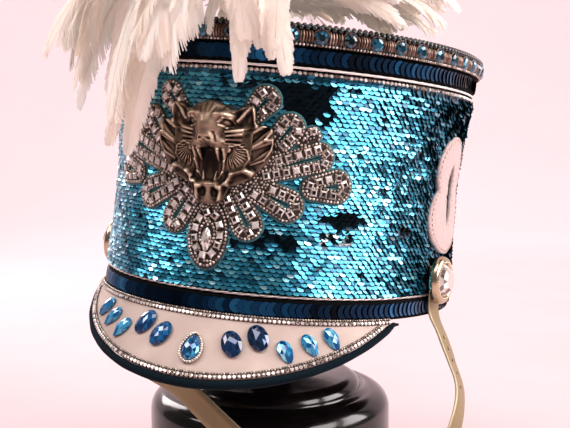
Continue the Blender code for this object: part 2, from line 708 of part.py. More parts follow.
def build_cat_head(hat, material, collection):
    """A cast relief of a roaring big cat, on rays and rings about its middle."""
    relief = bmesh.new()
    turns = [math.tau * (i / HEAD_RAYS) - math.pi for i in range(HEAD_RAYS)]
    centre_rise = head_rise(0, 0, 0)
    middle = relief.verts.new((0, 0, centre_rise))
    back = relief.verts.new((0, 0, 0))
    rings = []
    for share in HEAD_RINGS:
        ring = []
        for turn in turns:
            radius = head_radius(turn) * share
            x, y = radius * math.sin(turn), radius * math.cos(turn)
            rise = head_rise(x / HEAD_HALF_SPAN, y / HEAD_HALF_SPAN, share)
            ring.append(relief.verts.new((x, y, rise)))
        rings.append(ring)
    half = [relief.verts.new((v.co.x / 2, v.co.y / 2, 0)) for v in rings[-1]]
    foot = [relief.verts.new((v.co.x, v.co.y, 0)) for v in rings[-1]]
    rings += [foot, half]
    for i in range(HEAD_RAYS):
        j = (i + 1) % HEAD_RAYS
        relief.faces.new((middle, rings[0][i], rings[0][j]))
        relief.faces.new((back, half[j], half[i]))
        for inner, outer in zip(rings[:-1], rings[1:]):
            relief.faces.new((inner[i], outer[i], outer[j], inner[j]))
    bmesh.ops.triangulate(relief, faces=relief.faces)
    wrap(relief, 0.0, HEAD_CENTRE, PATCH_SEAT + BACKING + RIBBON_RISE + FIT)
    from_bmesh("cat_head", relief, material, hat, collection)


def build_patches(hat, material, collection, cutters):
    """Felt shapes of two round lobes with a notch and a slot, one on each side."""
    half_width, half_height = PATCH_WIDTH / 2, PATCH_HEIGHT / 2
    for side, name in ((1, "left"), (-1, "right")):
        lobes = (oval_plate(0.0, 0.42 * half_height, 0.80 * half_width, 0.58 * half_height, 0, PATCH_WALL),
                 oval_plate(0.0, -0.38 * half_height, half_width, 0.62 * half_height, 0, PATCH_WALL))
        slot = rounded_bar((0.05 * side * half_width, 0.45 * half_height),
                           (-0.05 * side * half_width, -0.35 * half_height),
                           0.12 * half_width, 0.16 * half_width, -PATCH_WALL, 2 * PATCH_WALL, ends=4)
        parts = [from_bmesh(f"patch_lobe_{i}", lobe, None, hat, cutters) for i, lobe in enumerate(lobes)]
        hole = from_bmesh("patch_slot", slot, None, hat, cutters)
        body = combine(parts[0], parts[1:], "UNION")
        body = combine(body, [hole], "DIFFERENCE")
        shape = bmesh.new()
        shape.from_mesh(body.data)
        remove(body)
        slice_for_wall(shape, half_width, PATCH_CENTRE)
        bmesh.ops.triangulate(shape, faces=shape.faces)
        wrap(shape, arc_at(side * PATCH_ANGLE), PATCH_CENTRE, PATCH_SEAT)
        from_bmesh(f"side_patch_{name}", shape, material, hat, collection)


def build_buttons(hat, finishes, collection):
    radius = BUTTON_WIDTH / 2
    well = CRYSTAL_WIDTH / 2 + FIT
    floor = 0.45 * BUTTON_RISE
    profile = ((0.0, floor), (well, floor), (well + 0.2 * FIT, 0.9 * BUTTON_RISE),
               (0.88 * radius, BUTTON_RISE), (radius, 0.55 * BUTTON_RISE), (radius, 0.0), (0.0, 0.0))
    for side, name in ((1, "left"), (-1, "right")):
        angle = side * BUTTON_ANGLE
        frame = wall_frame(angle, BUTTON_HEIGHT, STRAP_SEAT + STRAP_WALL + 2 * FIT)
        button = turned(f"button_{name}", profile, finishes["gilt"], hat, collection, ROUND_STEPS,
                        oval=False)
        button.matrix_local = frame
        crystal = cut_stone(f"button_crystal_{name}", CRYSTAL_WIDTH, CRYSTAL_WIDTH, CRYSTAL_RISE,
                            finishes["crystal"], hat, collection, "oval", table=0.6)
        crystal.matrix_local = frame @ Matrix.Translation((0, 0, floor + FIT))


def smooth_run(rows, stations):
    """Reads a smooth curve through the rows at even steps; each row is an array."""
    rows = np.array(rows)
    padded = np.vstack((2 * rows[0] - rows[1], rows, 2 * rows[-1] - rows[-2]))
    points = []
    for place_along in np.linspace(0, len(rows) - 1, stations):
        i = min(int(place_along), len(rows) - 2)
        t = place_along - i
        a, b, c, d = padded[i:i + 4]
        points.append(0.5 * (2 * b + (c - a) * t + (2 * a - 5 * b + 4 * c - d) * t ** 2
                             + (3 * b - a - 3 * c + d) * t ** 3))
    return points


def facing(around, down):
    around, down = math.radians(around), math.radians(down)
    return Vector((math.sin(around) * math.cos(down), -math.cos(around) * math.cos(down), -math.sin(down)))


def build_strap(hat, material, collection):
    """A flat strap from behind one button, down under the hat and up to the other."""
    rows = []
    middle = STRAP_SEAT + STRAP_WALL / 2
    for side in (-1, 1):
        angle = side * BUTTON_ANGLE
        normal = wall_normal(angle)
        around = math.degrees(math.atan2(normal.x, -normal.y))
        pinned = []
        for z in (BUTTON_HEIGHT + STRAP_TOP, BUTTON_HEIGHT - 4 * MM, 1 * MM):
            pinned.append((*on_wall(angle, z, middle), around, 0))
        rows += pinned if side < 0 else [
            *((x * MM, y * MM, z * MM, turn, down) for x, y, z, turn, down in STRAP_RUN),
            *reversed(pinned)]
    run = smooth_run(rows, STRAP_STATIONS)
    places = [Vector(row[:3]) for row in run]
    strap = bmesh.new()
    sections = []
    for i, row in enumerate(run):
        ahead = (places[min(i + 1, len(places) - 1)] - places[max(i - 1, 0)]).normalized()
        face = facing(row[3], row[4])
        side = ahead.cross(face).normalized() * (STRAP_WIDTH / 2)
        face = side.cross(ahead).normalized() * (STRAP_WALL / 2)
        corners = (side + face, side - face, -side - face, face - side)
        sections.append([strap.verts.new(places[i] + corner) for corner in corners])
    close_loft(strap, sections)
    from_bmesh("chin_strap", strap, material, hat, collection)


def close_loft(shape, sections):
    """Joins sections of equal length in a row and closes both ends."""
    count = len(sections[0])
    for one, two in zip(sections[:-1], sections[1:]):
        for i in range(count):
            j = (i + 1) % count
            shape.faces.new((one[i], one[j], two[j], two[i]))
    shape.faces.new(sections[0])
    shape.faces.new(reversed(sections[-1]))


def plume_place(across, forward, up):
    return Vector((across * HALF_WIDTH, -forward * HALF_LENGTH, TOP_Z + up * PLUME_HEIGHT))


def plume_lock(root, tip, bend, width):
    """One lock: a flat tapering strip along a curve from the plume's head to its tip."""
    lock = bmesh.new()
    sections = []
    side = None
    for share, size in LOCK_SECTIONS:
        point = root * (1 - share) ** 2 + bend * (2 * share * (1 - share)) + tip * share ** 2
        ahead = ((bend - root) * (1 - share) + (tip - bend) * share).normalized()
        if side is None:
            side = ahead.cross(Vector((0, -1, 0)))
        side = (side - ahead * side.dot(ahead)).normalized()
        face = side.cross(ahead) * (LOCK_THICKNESS / 2 * (0.4 + 0.6 * size))
        reach = side * (LOCK_WIDTH / 2 * width * size)
        sections.append([lock.verts.new(point + corner) for corner in (reach, face, -reach, -face)])
    close_loft(lock, sections)
    return lock


def build_plume(hat, material, collection, cutters):
    """Locks of feathers fused to a round head that sits on the crown's top, behind the front."""
    centre = Vector((0, -PLUME_SEAT, TOP_Z + TOP_DOME + FIT + PLUME_HEAD_HEIGHT / 2))
    head = bmesh.new()
    bmesh.ops.create_uvsphere(head, u_segments=10, v_segments=6, radius=1)
    for vert in head.verts:
        vert.co = centre + Vector((vert.co.x * PLUME_HEAD_WIDTH / 2, vert.co.y * PLUME_HEAD_WIDTH / 2,
                                   vert.co.z * PLUME_HEAD_HEIGHT / 2))
    plume = from_bmesh("plume", head, material, hat, collection)
    locks = []
    for i, row in enumerate(LOCKS):
        tip, bend = plume_place(*row[:3]), plume_place(*row[3:6])
        root = centre + (bend - centre).normalized() * (0.3 * PLUME_HEAD_WIDTH)
        lock = plume_lock(root, tip, bend, row[6])
        locks.append(from_bmesh(f"lock_{i}", lock, None, hat, cutters))
    combine(plume, locks, "UNION")


def main():
    for obj in list(bpy.data.objects):
        bpy.data.objects.remove(obj)
    collection = make_collection("marching_band_hat")
    cutters = make_collection("cutters")
    finishes = {
        "black": finish("black_plastic", "#1d1718", 0.25),
        "buckram": finish("black_buckram", "#14161a", 0.8),
        "turquoise": finish("turquoise_sequins", "#2f9fc4", 0.3, 0.5),
        "navy": finish("navy_sequins", "#10283f", 0.35, 0.3),
        "silver": finish("silver_cord", "#cfc6bd", 0.35, 0.8),
        "piping": finish("white_piping", "#efe9e6", 0.6),
        "teal": finish("teal_rhinestone_braid", "#1c4f5c", 0.3, 0.3),
        "board": finish("peak_board", "#2a2a2c", 0.8),
        "satin": finish("beige_satin", "#d5bfb4", 0.6),
        "velvet": finish("dark_teal_velvet", "#06202e", 0.9),
        "sapphire": finish("blue_glass", "#1d5d9c", 0.1),
        "crystal": finish("clear_crystal", "#e8e6e4", 0.08),
        "applique": finish("rhinestone_applique", "#b8aa9c", 0.4, 0.5),
        "bronze": finish("antique_bronze", "#7d6650", 0.45, 0.9),
        "felt": finish("blush_felt", "#e3c9c6", 0.95),
        "gilt": finish("gilt_metal", "#c9ad7c", 0.3, 1.0),
        "gold_strap": finish("gold_strap", "#c9ad7c", 0.45, 0.5),
        "feather": finish("cream_feather", "#f3ddd0", 0.9),
    }
    hat = bpy.data.objects.new("hat_frame", None)
    hat.location = (*HAT_SHIFT, HAT_HEIGHT)
    hat.rotation_euler = (LEAN_BACK, LEAN_SIDE, 0)
    collection.objects.link(hat)
    bpy.context.view_layer.update()
    build_stand(hat, finishes["black"], collection)
    build_crown(hat, finishes, collection)
    build_rim_braid(hat, finishes["teal"], collection)
    build_peak(hat, finishes, collection)
    build_peak_stones(hat, finishes, collection)
    build_applique(hat, finishes, collection, cutters)
    build_cat_head(hat, finishes["bronze"], collection)
    build_patches(hat, finishes["felt"], collection, cutters)
    build_buttons(hat, finishes, collection)
    build_strap(hat, finishes["gold_strap"], collection)
    build_plume(hat, finishes["feather"], collection, cutters)
    bpy.context.view_layer.update()


main()
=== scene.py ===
import math

import bmesh
import bpy
import numpy as np
from mathutils import Euler, Matrix, Vector


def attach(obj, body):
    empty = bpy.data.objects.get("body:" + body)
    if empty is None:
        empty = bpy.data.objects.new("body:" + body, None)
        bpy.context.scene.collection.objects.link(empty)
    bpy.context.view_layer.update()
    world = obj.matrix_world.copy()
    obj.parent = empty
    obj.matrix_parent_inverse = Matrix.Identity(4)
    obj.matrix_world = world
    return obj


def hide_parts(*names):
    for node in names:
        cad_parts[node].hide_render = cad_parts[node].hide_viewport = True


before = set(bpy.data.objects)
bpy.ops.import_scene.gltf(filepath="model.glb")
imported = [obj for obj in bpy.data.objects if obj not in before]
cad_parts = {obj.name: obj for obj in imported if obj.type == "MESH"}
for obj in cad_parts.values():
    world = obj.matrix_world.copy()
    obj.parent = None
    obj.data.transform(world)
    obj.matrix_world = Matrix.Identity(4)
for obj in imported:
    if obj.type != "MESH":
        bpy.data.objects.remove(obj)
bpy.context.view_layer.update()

# The hat has its own frame: origin in the middle of the head opening, front towards -Y, the wearer's left
# towards +X. A place on the wall is an angle or an arc from the front, a height, and a distance out of it.
MM = 0.001
RANDOM = np.random.default_rng(1907)

# Crown
HALF_WIDTH = 88 * MM
HALF_LENGTH = 103 * MM
SHELL_WALL = 2.0 * MM
CLOTH_WALL = 1.0 * MM
FIT = 0.3 * MM
TOP_PLATE = 2.0 * MM
TOP_RECESS = 4.0 * MM
TOP_DOME = 1.0 * MM
LOWER_BAND_HEIGHT = 8.6 * MM
LOWER_PIPING = 1.6 * MM
FIELD_HEIGHT = 94.0 * MM
UPPER_CHAIN = 2.2 * MM
UPPER_PIPING = 1.6 * MM
UPPER_BAND_HEIGHT = 7.8 * MM
BRAID_HEIGHT = 8.2 * MM
BRAID_STONE = 7.0 * MM
BRAID_STONE_COUNT = 50
# Share of the height, share of the mean girth
CROWN_PROFILE = (
    (0.00, 1.004), (0.30, 0.980), (0.50, 0.974), (0.68, 0.998), (0.86, 1.035), (1.00, 1.049),
)

# Peak
PEAK_REACH = 34.8 * MM
PEAK_SPAN = math.radians(62)
PEAK_SLOPE = math.radians(55)
PEAK_COVER = 1.0 * MM
PEAK_BINDING = 3.4 * MM
INNER_CHAIN = 2.2 * MM
INNER_CHAIN_REACH = 1.8 * MM
OUTER_CHAIN = 1.8 * MM
STONE_SIZES = {
    "oval": (9.0 * MM, 12.4 * MM),
    "drop": (7.4 * MM, 11.0 * MM),
    "middle": (8.6 * MM, 11.6 * MM),
}
STONE_RISE = 2.6 * MM
PEAK_MIDDLE = math.radians(1.3)
MIDDLE_SHARE = 0.51
# On each side, from the middle out: cut, degrees from the middle, share of the reach, swing in degrees
PEAK_STONES = (
    ("oval", 9.6, 0.40, 22),
    ("oval", 15.9, 0.29, 21),
    ("drop", 22.7, 0.45, 24),
    ("drop", 28.9, 0.35, 27),
    ("drop", 34.8, 0.26, 22),
)

# Front ornament
APPLIQUE_HALF_WIDTH = 64.0 * MM
APPLIQUE_CENTRE = 62.0 * MM
BACKING = 0.8 * MM
BACKING_RIM = 0.8 * MM
RIBBON_RISE = 1.7 * MM
PATCH_SEAT = 0.6 * MM
DROP_STONE_WIDTH = 4.8 * MM
DROP_STONE_LENGTH = 10.6 * MM
DROP_STONE_UP = -0.47
# Foot across and up, tip across and up, foot radius, tip radius, as shares of the half width
LOOPS = (
    (0.20, 0.33, 0.34, 0.50, 0.060, 0.098),
    (0.36, 0.12, 0.51, 0.33, 0.070, 0.100),
    (0.60, 0.26, 0.66, 0.29, 0.050, 0.062),
    (0.30, 0.01, 0.72, 0.15, 0.080, 0.105),
    (0.70, -0.06, 0.86, -0.04, 0.085, 0.120),
    (0.32, -0.10, 0.53, -0.19, 0.090, 0.115),
    (0.12, -0.10, 0.27, -0.34, 0.090, 0.110),
)
# Across, up, half width, half height, as shares of the half width
PADS = ((0.0, 0.10, 0.40, 0.36), (0.0, -0.43, 0.150, 0.24))
HEAD_HALF_SPAN = 27.0 * MM
HEAD_CENTRE = 71.0 * MM
HEAD_EDGE = 1.6 * MM
# Degrees from the top, share of the half span
HEAD_OUTLINE = (
    (0, 0.80), (14, 0.77), (27, 0.74), (36, 0.90), (42, 0.99), (48, 0.93), (55, 0.83), (60, 0.90),
    (66, 1.03), (80, 0.99), (96, 0.92), (108, 0.82), (120, 0.78), (134, 0.70), (150, 0.64), (163, 0.82),
    (172, 0.87), (180, 0.86),
)

# Sides
BUTTON_ANGLE = math.radians(77)
BUTTON_HEIGHT = 17.0 * MM
BUTTON_WIDTH = 23.0 * MM
BUTTON_RISE = 4.6 * MM
CRYSTAL_WIDTH = 15.6 * MM
CRYSTAL_RISE = 4.8 * MM
PATCH_ANGLE = math.radians(84)
PATCH_CENTRE = 58.0 * MM
PATCH_WIDTH = 46.0 * MM
PATCH_HEIGHT = 58.0 * MM
PATCH_WALL = 2.0 * MM
STRAP_WIDTH = 12.0 * MM
STRAP_WALL = 1.2 * MM
STRAP_SEAT = 1.1 * MM
STRAP_TOP = 7.0 * MM
# Places in millimetres, then the way the strap faces round and down, in degrees
STRAP_RUN = (
    (-92.0, -29.0, -9.0, -78, 0),
    (-87.0, -38.0, -19.0, -64, 20),
    (-73.0, -50.0, -30.0, -40, 26),
    (-48.0, -64.0, -38.0, -16, 22),
    (-21.6, -72.0, -43.7, 6, 14),
    (4.4, -76.5, -58.0, 12, 8),
    (30.0, -79.0, -73.0, 12, 12),
    (55.0, -78.0, -83.5, 14, 26),
    (78.0, -73.0, -84.5, 24, 34),
    (95.0, -66.0, -75.0, 42, 22),
    (103.5, -59.0, -60.0, 58, 8),
    (107.5, -50.0, -44.0, 70, 0),
    (106.0, -38.0, -31.0, 76, -4),
    (99.5, -30.5, -19.5, 78, -2),
    (93.5, -26.5, -9.0, 79, 0),
)

# Plume
PLUME_HEIGHT = 135.0 * MM
PLUME_SEAT = 74.0 * MM
PLUME_HEAD_HEIGHT = 30.0 * MM
# Tip and bend, each as across, forward and up, then the lock's width
LOCKS = (
    (-0.50, 1.06, -0.45, -0.32, 1.24, 0.42, 0.60),
    (-0.80, 1.01, -0.26, -0.50, 1.24, 0.42, 0.70),
    (-0.98, 0.98, -0.12, -0.60, 1.18, 0.46, 0.80),
    (-0.22, 1.21, -0.19, -0.14, 1.24, 0.38, 1.00),
    (0.34, 1.22, -0.16, 0.20, 1.24, 0.34, 0.45),
    (-1.10, 0.60, 0.12, -0.65, 0.75, 0.56, 1.00),
    (-0.70, 0.90, 0.62, -0.30, 0.75, 0.55, 1.00),
    (0.05, 1.10, 0.72, 0.02, 0.85, 0.60, 1.00),
    (0.75, 0.85, 0.55, 0.35, 0.75, 0.50, 1.00),
    (1.02, 0.45, 0.18, 0.60, 0.60, 0.54, 1.00),
    (0.80, 0.05, 0.48, 0.35, 0.40, 0.55, 1.00),
    (0.10, 0.00, 0.72, 0.05, 0.35, 0.75, 1.00),
    (-0.75, 0.15, 0.55, -0.35, 0.40, 0.60, 1.00),
    (0.20, 0.66, 1.00, 0.05, 0.70, 0.70, 0.90),
    (-0.30, 0.55, 0.94, -0.10, 0.65, 0.70, 0.90),
)

# Stand and the hat's place on it
HAT_HEIGHT = 140.0 * MM
HAT_SHIFT = (5.5 * MM, 2.0 * MM)
LEAN_BACK = math.radians(-3.1)
LEAN_SIDE = math.radians(4.0)
DRUM_RADIUS = 64.5 * MM
DRUM_HEIGHT = 86.0 * MM
DRUM_SHOULDER = 10.0 * MM
BOSS_RADIUS = 49.0 * MM
BOSS_HEIGHT = 7.0 * MM
POST_RADIUS = 12.0 * MM
STAND_HEAD_RADIUS = 36.0 * MM
STAND_HEAD_CURVE = 60.0 * MM
STAND_HEAD_EDGE = 6.0 * MM

# Fine trim that only the scene shows; sequins lean down and turn a little to one side
SEQUIN_PITCH = 3.2 * MM
SEQUIN_RADIUS = 1.98 * MM
SEQUIN_ROWS = 50
SEQUIN_DISH = 0.12
SEQUIN_LEAN = math.radians(-15)
SEQUIN_YAW = math.radians(5)
BAND_SEQUIN_PITCH = 3.2 * MM
BAND_SEQUIN_RADIUS = 3.1 * MM
CHAIN_PITCH = 2.25 * MM
PEAK_CHAIN_PITCH = 2.05 * MM
PEAK_CHAIN_STONE = 1.95 * MM
CHECKER_CELL = 2.9 * MM
SEED_PITCH = 1.62 * MM
SQUARE_PITCH = 4.5 * MM
SQUARE_HALF = 1.6 * MM
STITCH_PITCH = 2.6 * MM
HOLE_RADIUS = 0.9 * MM
CHAIN_BEAD = 0.62 * MM
CHAIN_BEAD_PITCH = 1.25 * MM
CHAIN_BEAD_SHIFT = 1.55 * MM
BARB_PITCH = 1.25 * MM
BARB_WIDTH = 2.1 * MM
QUILL_RADIUS = 0.7 * MM
WALL_STEPS = 144
STAND_STEPS = 128

# The camera, fitted to the photograph: this far round from the hat's front and this far up from straight down
VIEW_TURN = math.radians(19.9)
VIEW_TILT = math.radians(84.56)
VIEW_PLACE = (0.18048, -0.47492, 0.2278)
VIEW_LENS = 60.06
VIEW_SENSOR = 36

MEAN_RADIUS = (HALF_WIDTH + HALF_LENGTH) / 2
ACROSS = HALF_WIDTH / MEAN_RADIUS
ALONG = HALF_LENGTH / MEAN_RADIUS
LOWER_BAND_Z = FIT
LOWER_PIPING_Z = LOWER_BAND_Z + LOWER_BAND_HEIGHT + FIT
FIELD_Z = LOWER_PIPING_Z + LOWER_PIPING + FIT
UPPER_CHAIN_Z = FIELD_Z + FIELD_HEIGHT + FIT
UPPER_PIPING_Z = UPPER_CHAIN_Z + UPPER_CHAIN + FIT
UPPER_BAND_Z = UPPER_PIPING_Z + UPPER_PIPING + FIT
BRAID_Z = UPPER_BAND_Z + UPPER_BAND_HEIGHT + FIT
CROWN_HEIGHT = BRAID_Z + BRAID_HEIGHT
TOP_Z = CROWN_HEIGHT - TOP_RECESS

LEAN = Euler((LEAN_BACK, LEAN_SIDE, 0)).to_matrix().to_4x4()
HAT = Matrix.Translation((*HAT_SHIFT, HAT_HEIGHT)) @ LEAN


# Materials

def linear(code):
    """Linear colour of an sRGB hex value."""
    channels = [int(code[i:i + 2], 16) / 255 for i in (1, 3, 5)]
    return (*(c / 12.92 if c <= 0.04045 else ((c + 0.055) / 1.055) ** 2.4 for c in channels), 1)


def add(material, kind, settings=None, inputs=None, stops=()):
    """Adds a node with its settings, its input values or links, and the stops of its colour ramp."""
    made = material.node_tree.nodes.new("ShaderNode" + kind)
    for name, value in (settings or {}).items():
        setattr(made, name, value)
    for name, value in (inputs or {}).items():
        if isinstance(value, bpy.types.NodeSocket):
            material.node_tree.links.new(value, made.inputs[name])
        else:
            made.inputs[name].default_value = value
    for i, (position, code) in enumerate(stops):
        elements = made.color_ramp.elements
        stop = elements[i] if i < 2 else elements.new(position)
        stop.position = position
        stop.color = linear(code)
    return made


def surface(name, sockets):
    """A material named for its real finish, with the plain values of its shader, and where things lie."""
    material = bpy.data.materials.new(name)
    material.use_nodes = True
    shader = material.node_tree.nodes["Principled BSDF"]
    for socket, value in sockets.items():
        shader.inputs[socket].default_value = value
    place = add(material, "TexCoord").outputs["Object"]
    return material, shader, place


def connect(material, output, shader, socket):
    material.node_tree.links.new(output, shader.inputs[socket])


def toned(name, sockets, stops, grain, depth, distance):
    """A finish coloured by each facet's own tone, with a fine grain in its surface.

    grain is the grain's real size, and depth and distance how strongly and how high it stands."""
    material, shader, place = surface(name, sockets)
    tone = add(material, "Attribute", {"attribute_name": "tone"})
    colour = add(material, "ValToRGB", None, {"Fac": tone.outputs["Fac"]}, stops)
    connect(material, colour.outputs["Color"], shader, "Base Color")
    noise = add(material, "TexNoise", None, {"Vector": place, "Scale": 1 / grain, "Detail": 3.0})
    bump = add(material, "Bump", None,
               {"Height": noise.outputs["Fac"], "Strength": depth, "Distance": distance})
    connect(material, bump.outputs["Normal"], shader, "Normal")
    return material


def napped(name, sockets, fibres, stops, height):
    """A cloth whose fibres give both its shades and its small bumps, which stand up to height."""
    material, shader, place = surface(name, sockets)
    nap = add(material, "TexNoise", None, {"Vector": place, **fibres})
    colour = add(material, "ValToRGB", None, {"Fac": nap.outputs["Fac"]}, stops)
    connect(material, colour.outputs["Color"], shader, "Base Color")
    bump = add(material, "Bump", None, {"Height": nap.outputs["Fac"], "Strength": 0.7, "Distance": height})
    connect(material, bump.outputs["Normal"], shader, "Normal")
    return material


def make_finishes():
    """Every finish of the object, named for what it is and how it was made."""
    made = {}
    # Metallised PET film, punched and lightly dished: a mirror under a turquoise dye. Its ramp, near black to
    # near white, paints each sequin's reflection and shade
    made["turquoise_film"] = toned(
        "turquoise_sequin_film", {"Metallic": 0.8, "Roughness": 0.26, "Coat Weight": 0.3,
                                  "Coat Roughness": 0.14},
        ((0.0, "#021c27"), (0.2, "#0b4c66"), (0.48, "#2a8bab"), (0.72, "#56aec6"), (1.0, "#a8dce6")),
        1.2 * MM, 0.12, 0.2 * MM)
    # The film's uncoloured side, which shows where a hand brushed the sequins over: near black, or silver
    made["film_back"] = toned(
        "sequin_film_back", {"Metallic": 0.93, "Roughness": 0.3},
        ((0.0, "#020c12"), (0.45, "#06202b"), (0.8, "#8da5aa"), (1.0, "#eef2f0")), 1.2 * MM, 0.12, 0.2 * MM)
    # Navy film sequins, flat and glossy, so a row of them reads as one shining strip
    made["navy_film"] = toned(
        "navy_sequin_film", {"Metallic": 0.88, "Roughness": 0.27},
        ((0.0, "#01060d"), (0.5, "#0d3557"), (1.0, "#2c78ac")), 2.0 * MM, 0.08, 0.2 * MM)
    # Stretch net that the sequins are sewn to, dyed dark blue, drawn at its real 0.7 mm mesh
    made["net"] = toned(
        "dark_net_ground", {"Roughness": 0.95, "Specular IOR Level": 0.2},
        ((0.0, "#010a10"), (1.0, "#031a26")), 0.7 * MM, 0.6, 0.3 * MM)
    # Woven rayon ribbon, black, dull enough to leave the sequins their shine
    made["ribbon"] = toned(
        "black_rayon_ribbon", {"Roughness": 0.85, "Specular IOR Level": 0.1},
        ((0.0, "#010102"), (1.0, "#05070a")), 0.5 * MM, 0.4, 0.15 * MM)
    # Lurex cord, twisted from flat silver strips on a cotton core
    made["lurex"] = toned(
        "silver_lurex_cord", {"Metallic": 0.75, "Roughness": 0.34},
        ((0.0, "#8f8380"), (0.5, "#cfc4c0"), (1.0, "#fbf3ee")), 0.3 * MM, 0.4, 0.1 * MM)
    # Rayon piping, twisted, white, with a painted pink reflection of the room in its colour
    made["piping"] = toned(
        "white_rayon_piping", {"Roughness": 0.5, "Sheen Weight": 0.4},
        ((0.0, "#c9b9b2"), (0.5, "#efe4de"), (1.0, "#fffaf6")), 0.3 * MM, 0.4, 0.1 * MM)
    # Stamped brass cups with a worn silver plate, which hold the fine chains' stones
    made["cup"] = toned(
        "silver_plated_cup", {"Metallic": 0.9, "Roughness": 0.3},
        ((0.0, "#4d4039"), (0.5, "#a4968b"), (1.0, "#e8dcd0")), 0.5 * MM, 0.2, 0.05 * MM)
    # Foiled lead glass, pressed and polished: each facet's tone, from near black to white, is a painted
    # reflection
    made["crystal"] = toned(
        "foiled_clear_glass", {"Metallic": 0.35, "Roughness": 0.06, "Coat Weight": 0.8,
                               "Coat Roughness": 0.03},
        ((0.0, "#1d1513"), (0.3, "#6e5f59"), (0.6, "#d9ccc6"), (1.0, "#ffffff")), 4.0 * MM, 0.02, 0.1 * MM)
    # Dark teal foiled glass in the braid; each facet's tone, dark to pale, is a painted reflection
    made["teal_glass"] = toned(
        "foiled_teal_glass", {"Metallic": 0.35, "Roughness": 0.07, "Coat Weight": 0.9,
                              "Coat Roughness": 0.03},
        ((0.0, "#020d12"), (0.45, "#0b3d52"), (0.8, "#1f7795"), (1.0, "#8fd3e0")), 4.0 * MM, 0.02, 0.1 * MM)
    # Blue foiled glass on the peak, cut in a checkerboard; each facet's tone, near black to near white, is a
    # painted reflection
    made["blue_glass"] = toned(
        "foiled_blue_glass", {"Metallic": 0.3, "Roughness": 0.06, "Coat Weight": 0.9,
                              "Coat Roughness": 0.03},
        ((0.0, "#020c1a"), (0.3, "#0a3766"), (0.55, "#146aa5"), (0.78, "#48b2d8"), (1.0, "#c4f1fa")),
        4.0 * MM, 0.02, 0.1 * MM)
    # Copper wire, browned, wound between the braid's stones
    made["bronze_wire"] = toned(
        "browned_copper_wire", {"Metallic": 0.8, "Roughness": 0.38},
        ((0.0, "#1e1410"), (0.5, "#705548"), (1.0, "#c9ada0")), 0.4 * MM, 0.3, 0.05 * MM)
    # Pressed black glass beads
    made["black_bead"] = toned(
        "black_glass_bead", {"Roughness": 0.12, "Coat Weight": 0.6},
        ((0.0, "#05090c"), (1.0, "#1c2a31")), 2.0 * MM, 0.05, 0.05 * MM)
    # Tiny seed beads with a champagne lustre
    made["seed_bead"] = toned(
        "champagne_seed_bead", {"Metallic": 0.6, "Roughness": 0.25, "Coat Weight": 0.4},
        ((0.0, "#3b302b"), (0.35, "#8d8077"), (0.7, "#cbbdb2"), (1.0, "#f7eee6")), 1.0 * MM, 0.1, 0.05 * MM)
    # Teal felt behind the ornament
    made["teal_felt"] = toned(
        "teal_backing_felt", {"Roughness": 0.9, "Sheen Weight": 0.4},
        ((0.0, "#12444c"), (1.0, "#2f7f86")), 0.6 * MM, 0.7, 0.3 * MM)
    # Gunmetal net between the ornament's beads
    made["gunmetal"] = toned(
        "gunmetal_net", {"Metallic": 0.5, "Roughness": 0.5},
        ((0.0, "#1c1917"), (1.0, "#5a504a")), 0.5 * MM, 0.7, 0.2 * MM)
    # Zinc casting with an antique bronze plate: bright where it is rubbed, near black in the hollows
    made["bronze"] = toned(
        "antique_bronze_casting", {"Metallic": 0.8, "Roughness": 0.4},
        ((0.0, "#0a0706"), (0.3, "#33271f"), (0.55, "#7e6c5c"), (0.8, "#b89f88"), (1.0, "#e8d6bf")),
        0.8 * MM, 0.25, 0.1 * MM)
    # Gold foil on a cut PVC strap, with paler cut edges
    made["strap"] = toned(
        "gold_foil_strap", {"Metallic": 0.45, "Roughness": 0.4},
        ((0.0, "#52442e"), (0.5, "#93805e"), (1.0, "#c8ba9b")), 0.9 * MM, 0.15, 0.08 * MM)
    # Brass, stamped, polished and lacquered
    made["gilt"] = toned(
        "gilt_brass", {"Metallic": 1.0, "Roughness": 0.24, "Coat Weight": 0.3},
        ((0.0, "#6f5c40"), (0.5, "#bda888"), (1.0, "#ece0c8")), 0.9 * MM, 0.08, 0.05 * MM)
    # Cotton thread for the stitches round the felt
    made["thread"] = toned(
        "tan_cotton_thread", {"Roughness": 0.75},
        ((0.0, "#8a6a55"), (1.0, "#c9a98f")), 0.3 * MM, 0.4, 0.05 * MM)
    # Cotton velvet round the peak's edge: almost black face on, with a teal bloom at a slant
    made["velvet"] = napped(
        "dark_teal_velvet", {"Roughness": 0.95, "Specular IOR Level": 0.15, "Sheen Weight": 0.12,
                             "Sheen Roughness": 0.3, "Sheen Tint": linear("#2f6f88")},
        {"Scale": 1 / (0.5 * MM), "Detail": 5.0},
        ((0.3, "#010a10"), (0.6, "#03151f"), (0.8, "#082330")), 0.25 * MM)
    # Pressed wool felt: matt, with short loose fibres and small pills
    made["felt"] = napped(
        "blush_wool_felt", {"Roughness": 0.95, "Sheen Weight": 0.5},
        {"Scale": 1 / (0.9 * MM), "Detail": 6.0, "Distortion": 1.5},
        ((0.3, "#b19794"), (0.55, "#c4adaa"), (0.8, "#d8c6c3")), 0.4 * MM)
    made["satin"] = satin_finish()
    made["buckram"] = buckram_finish()
    made["feather"] = feather_finish()
    made["plastic"] = plastic_finish()
    return made


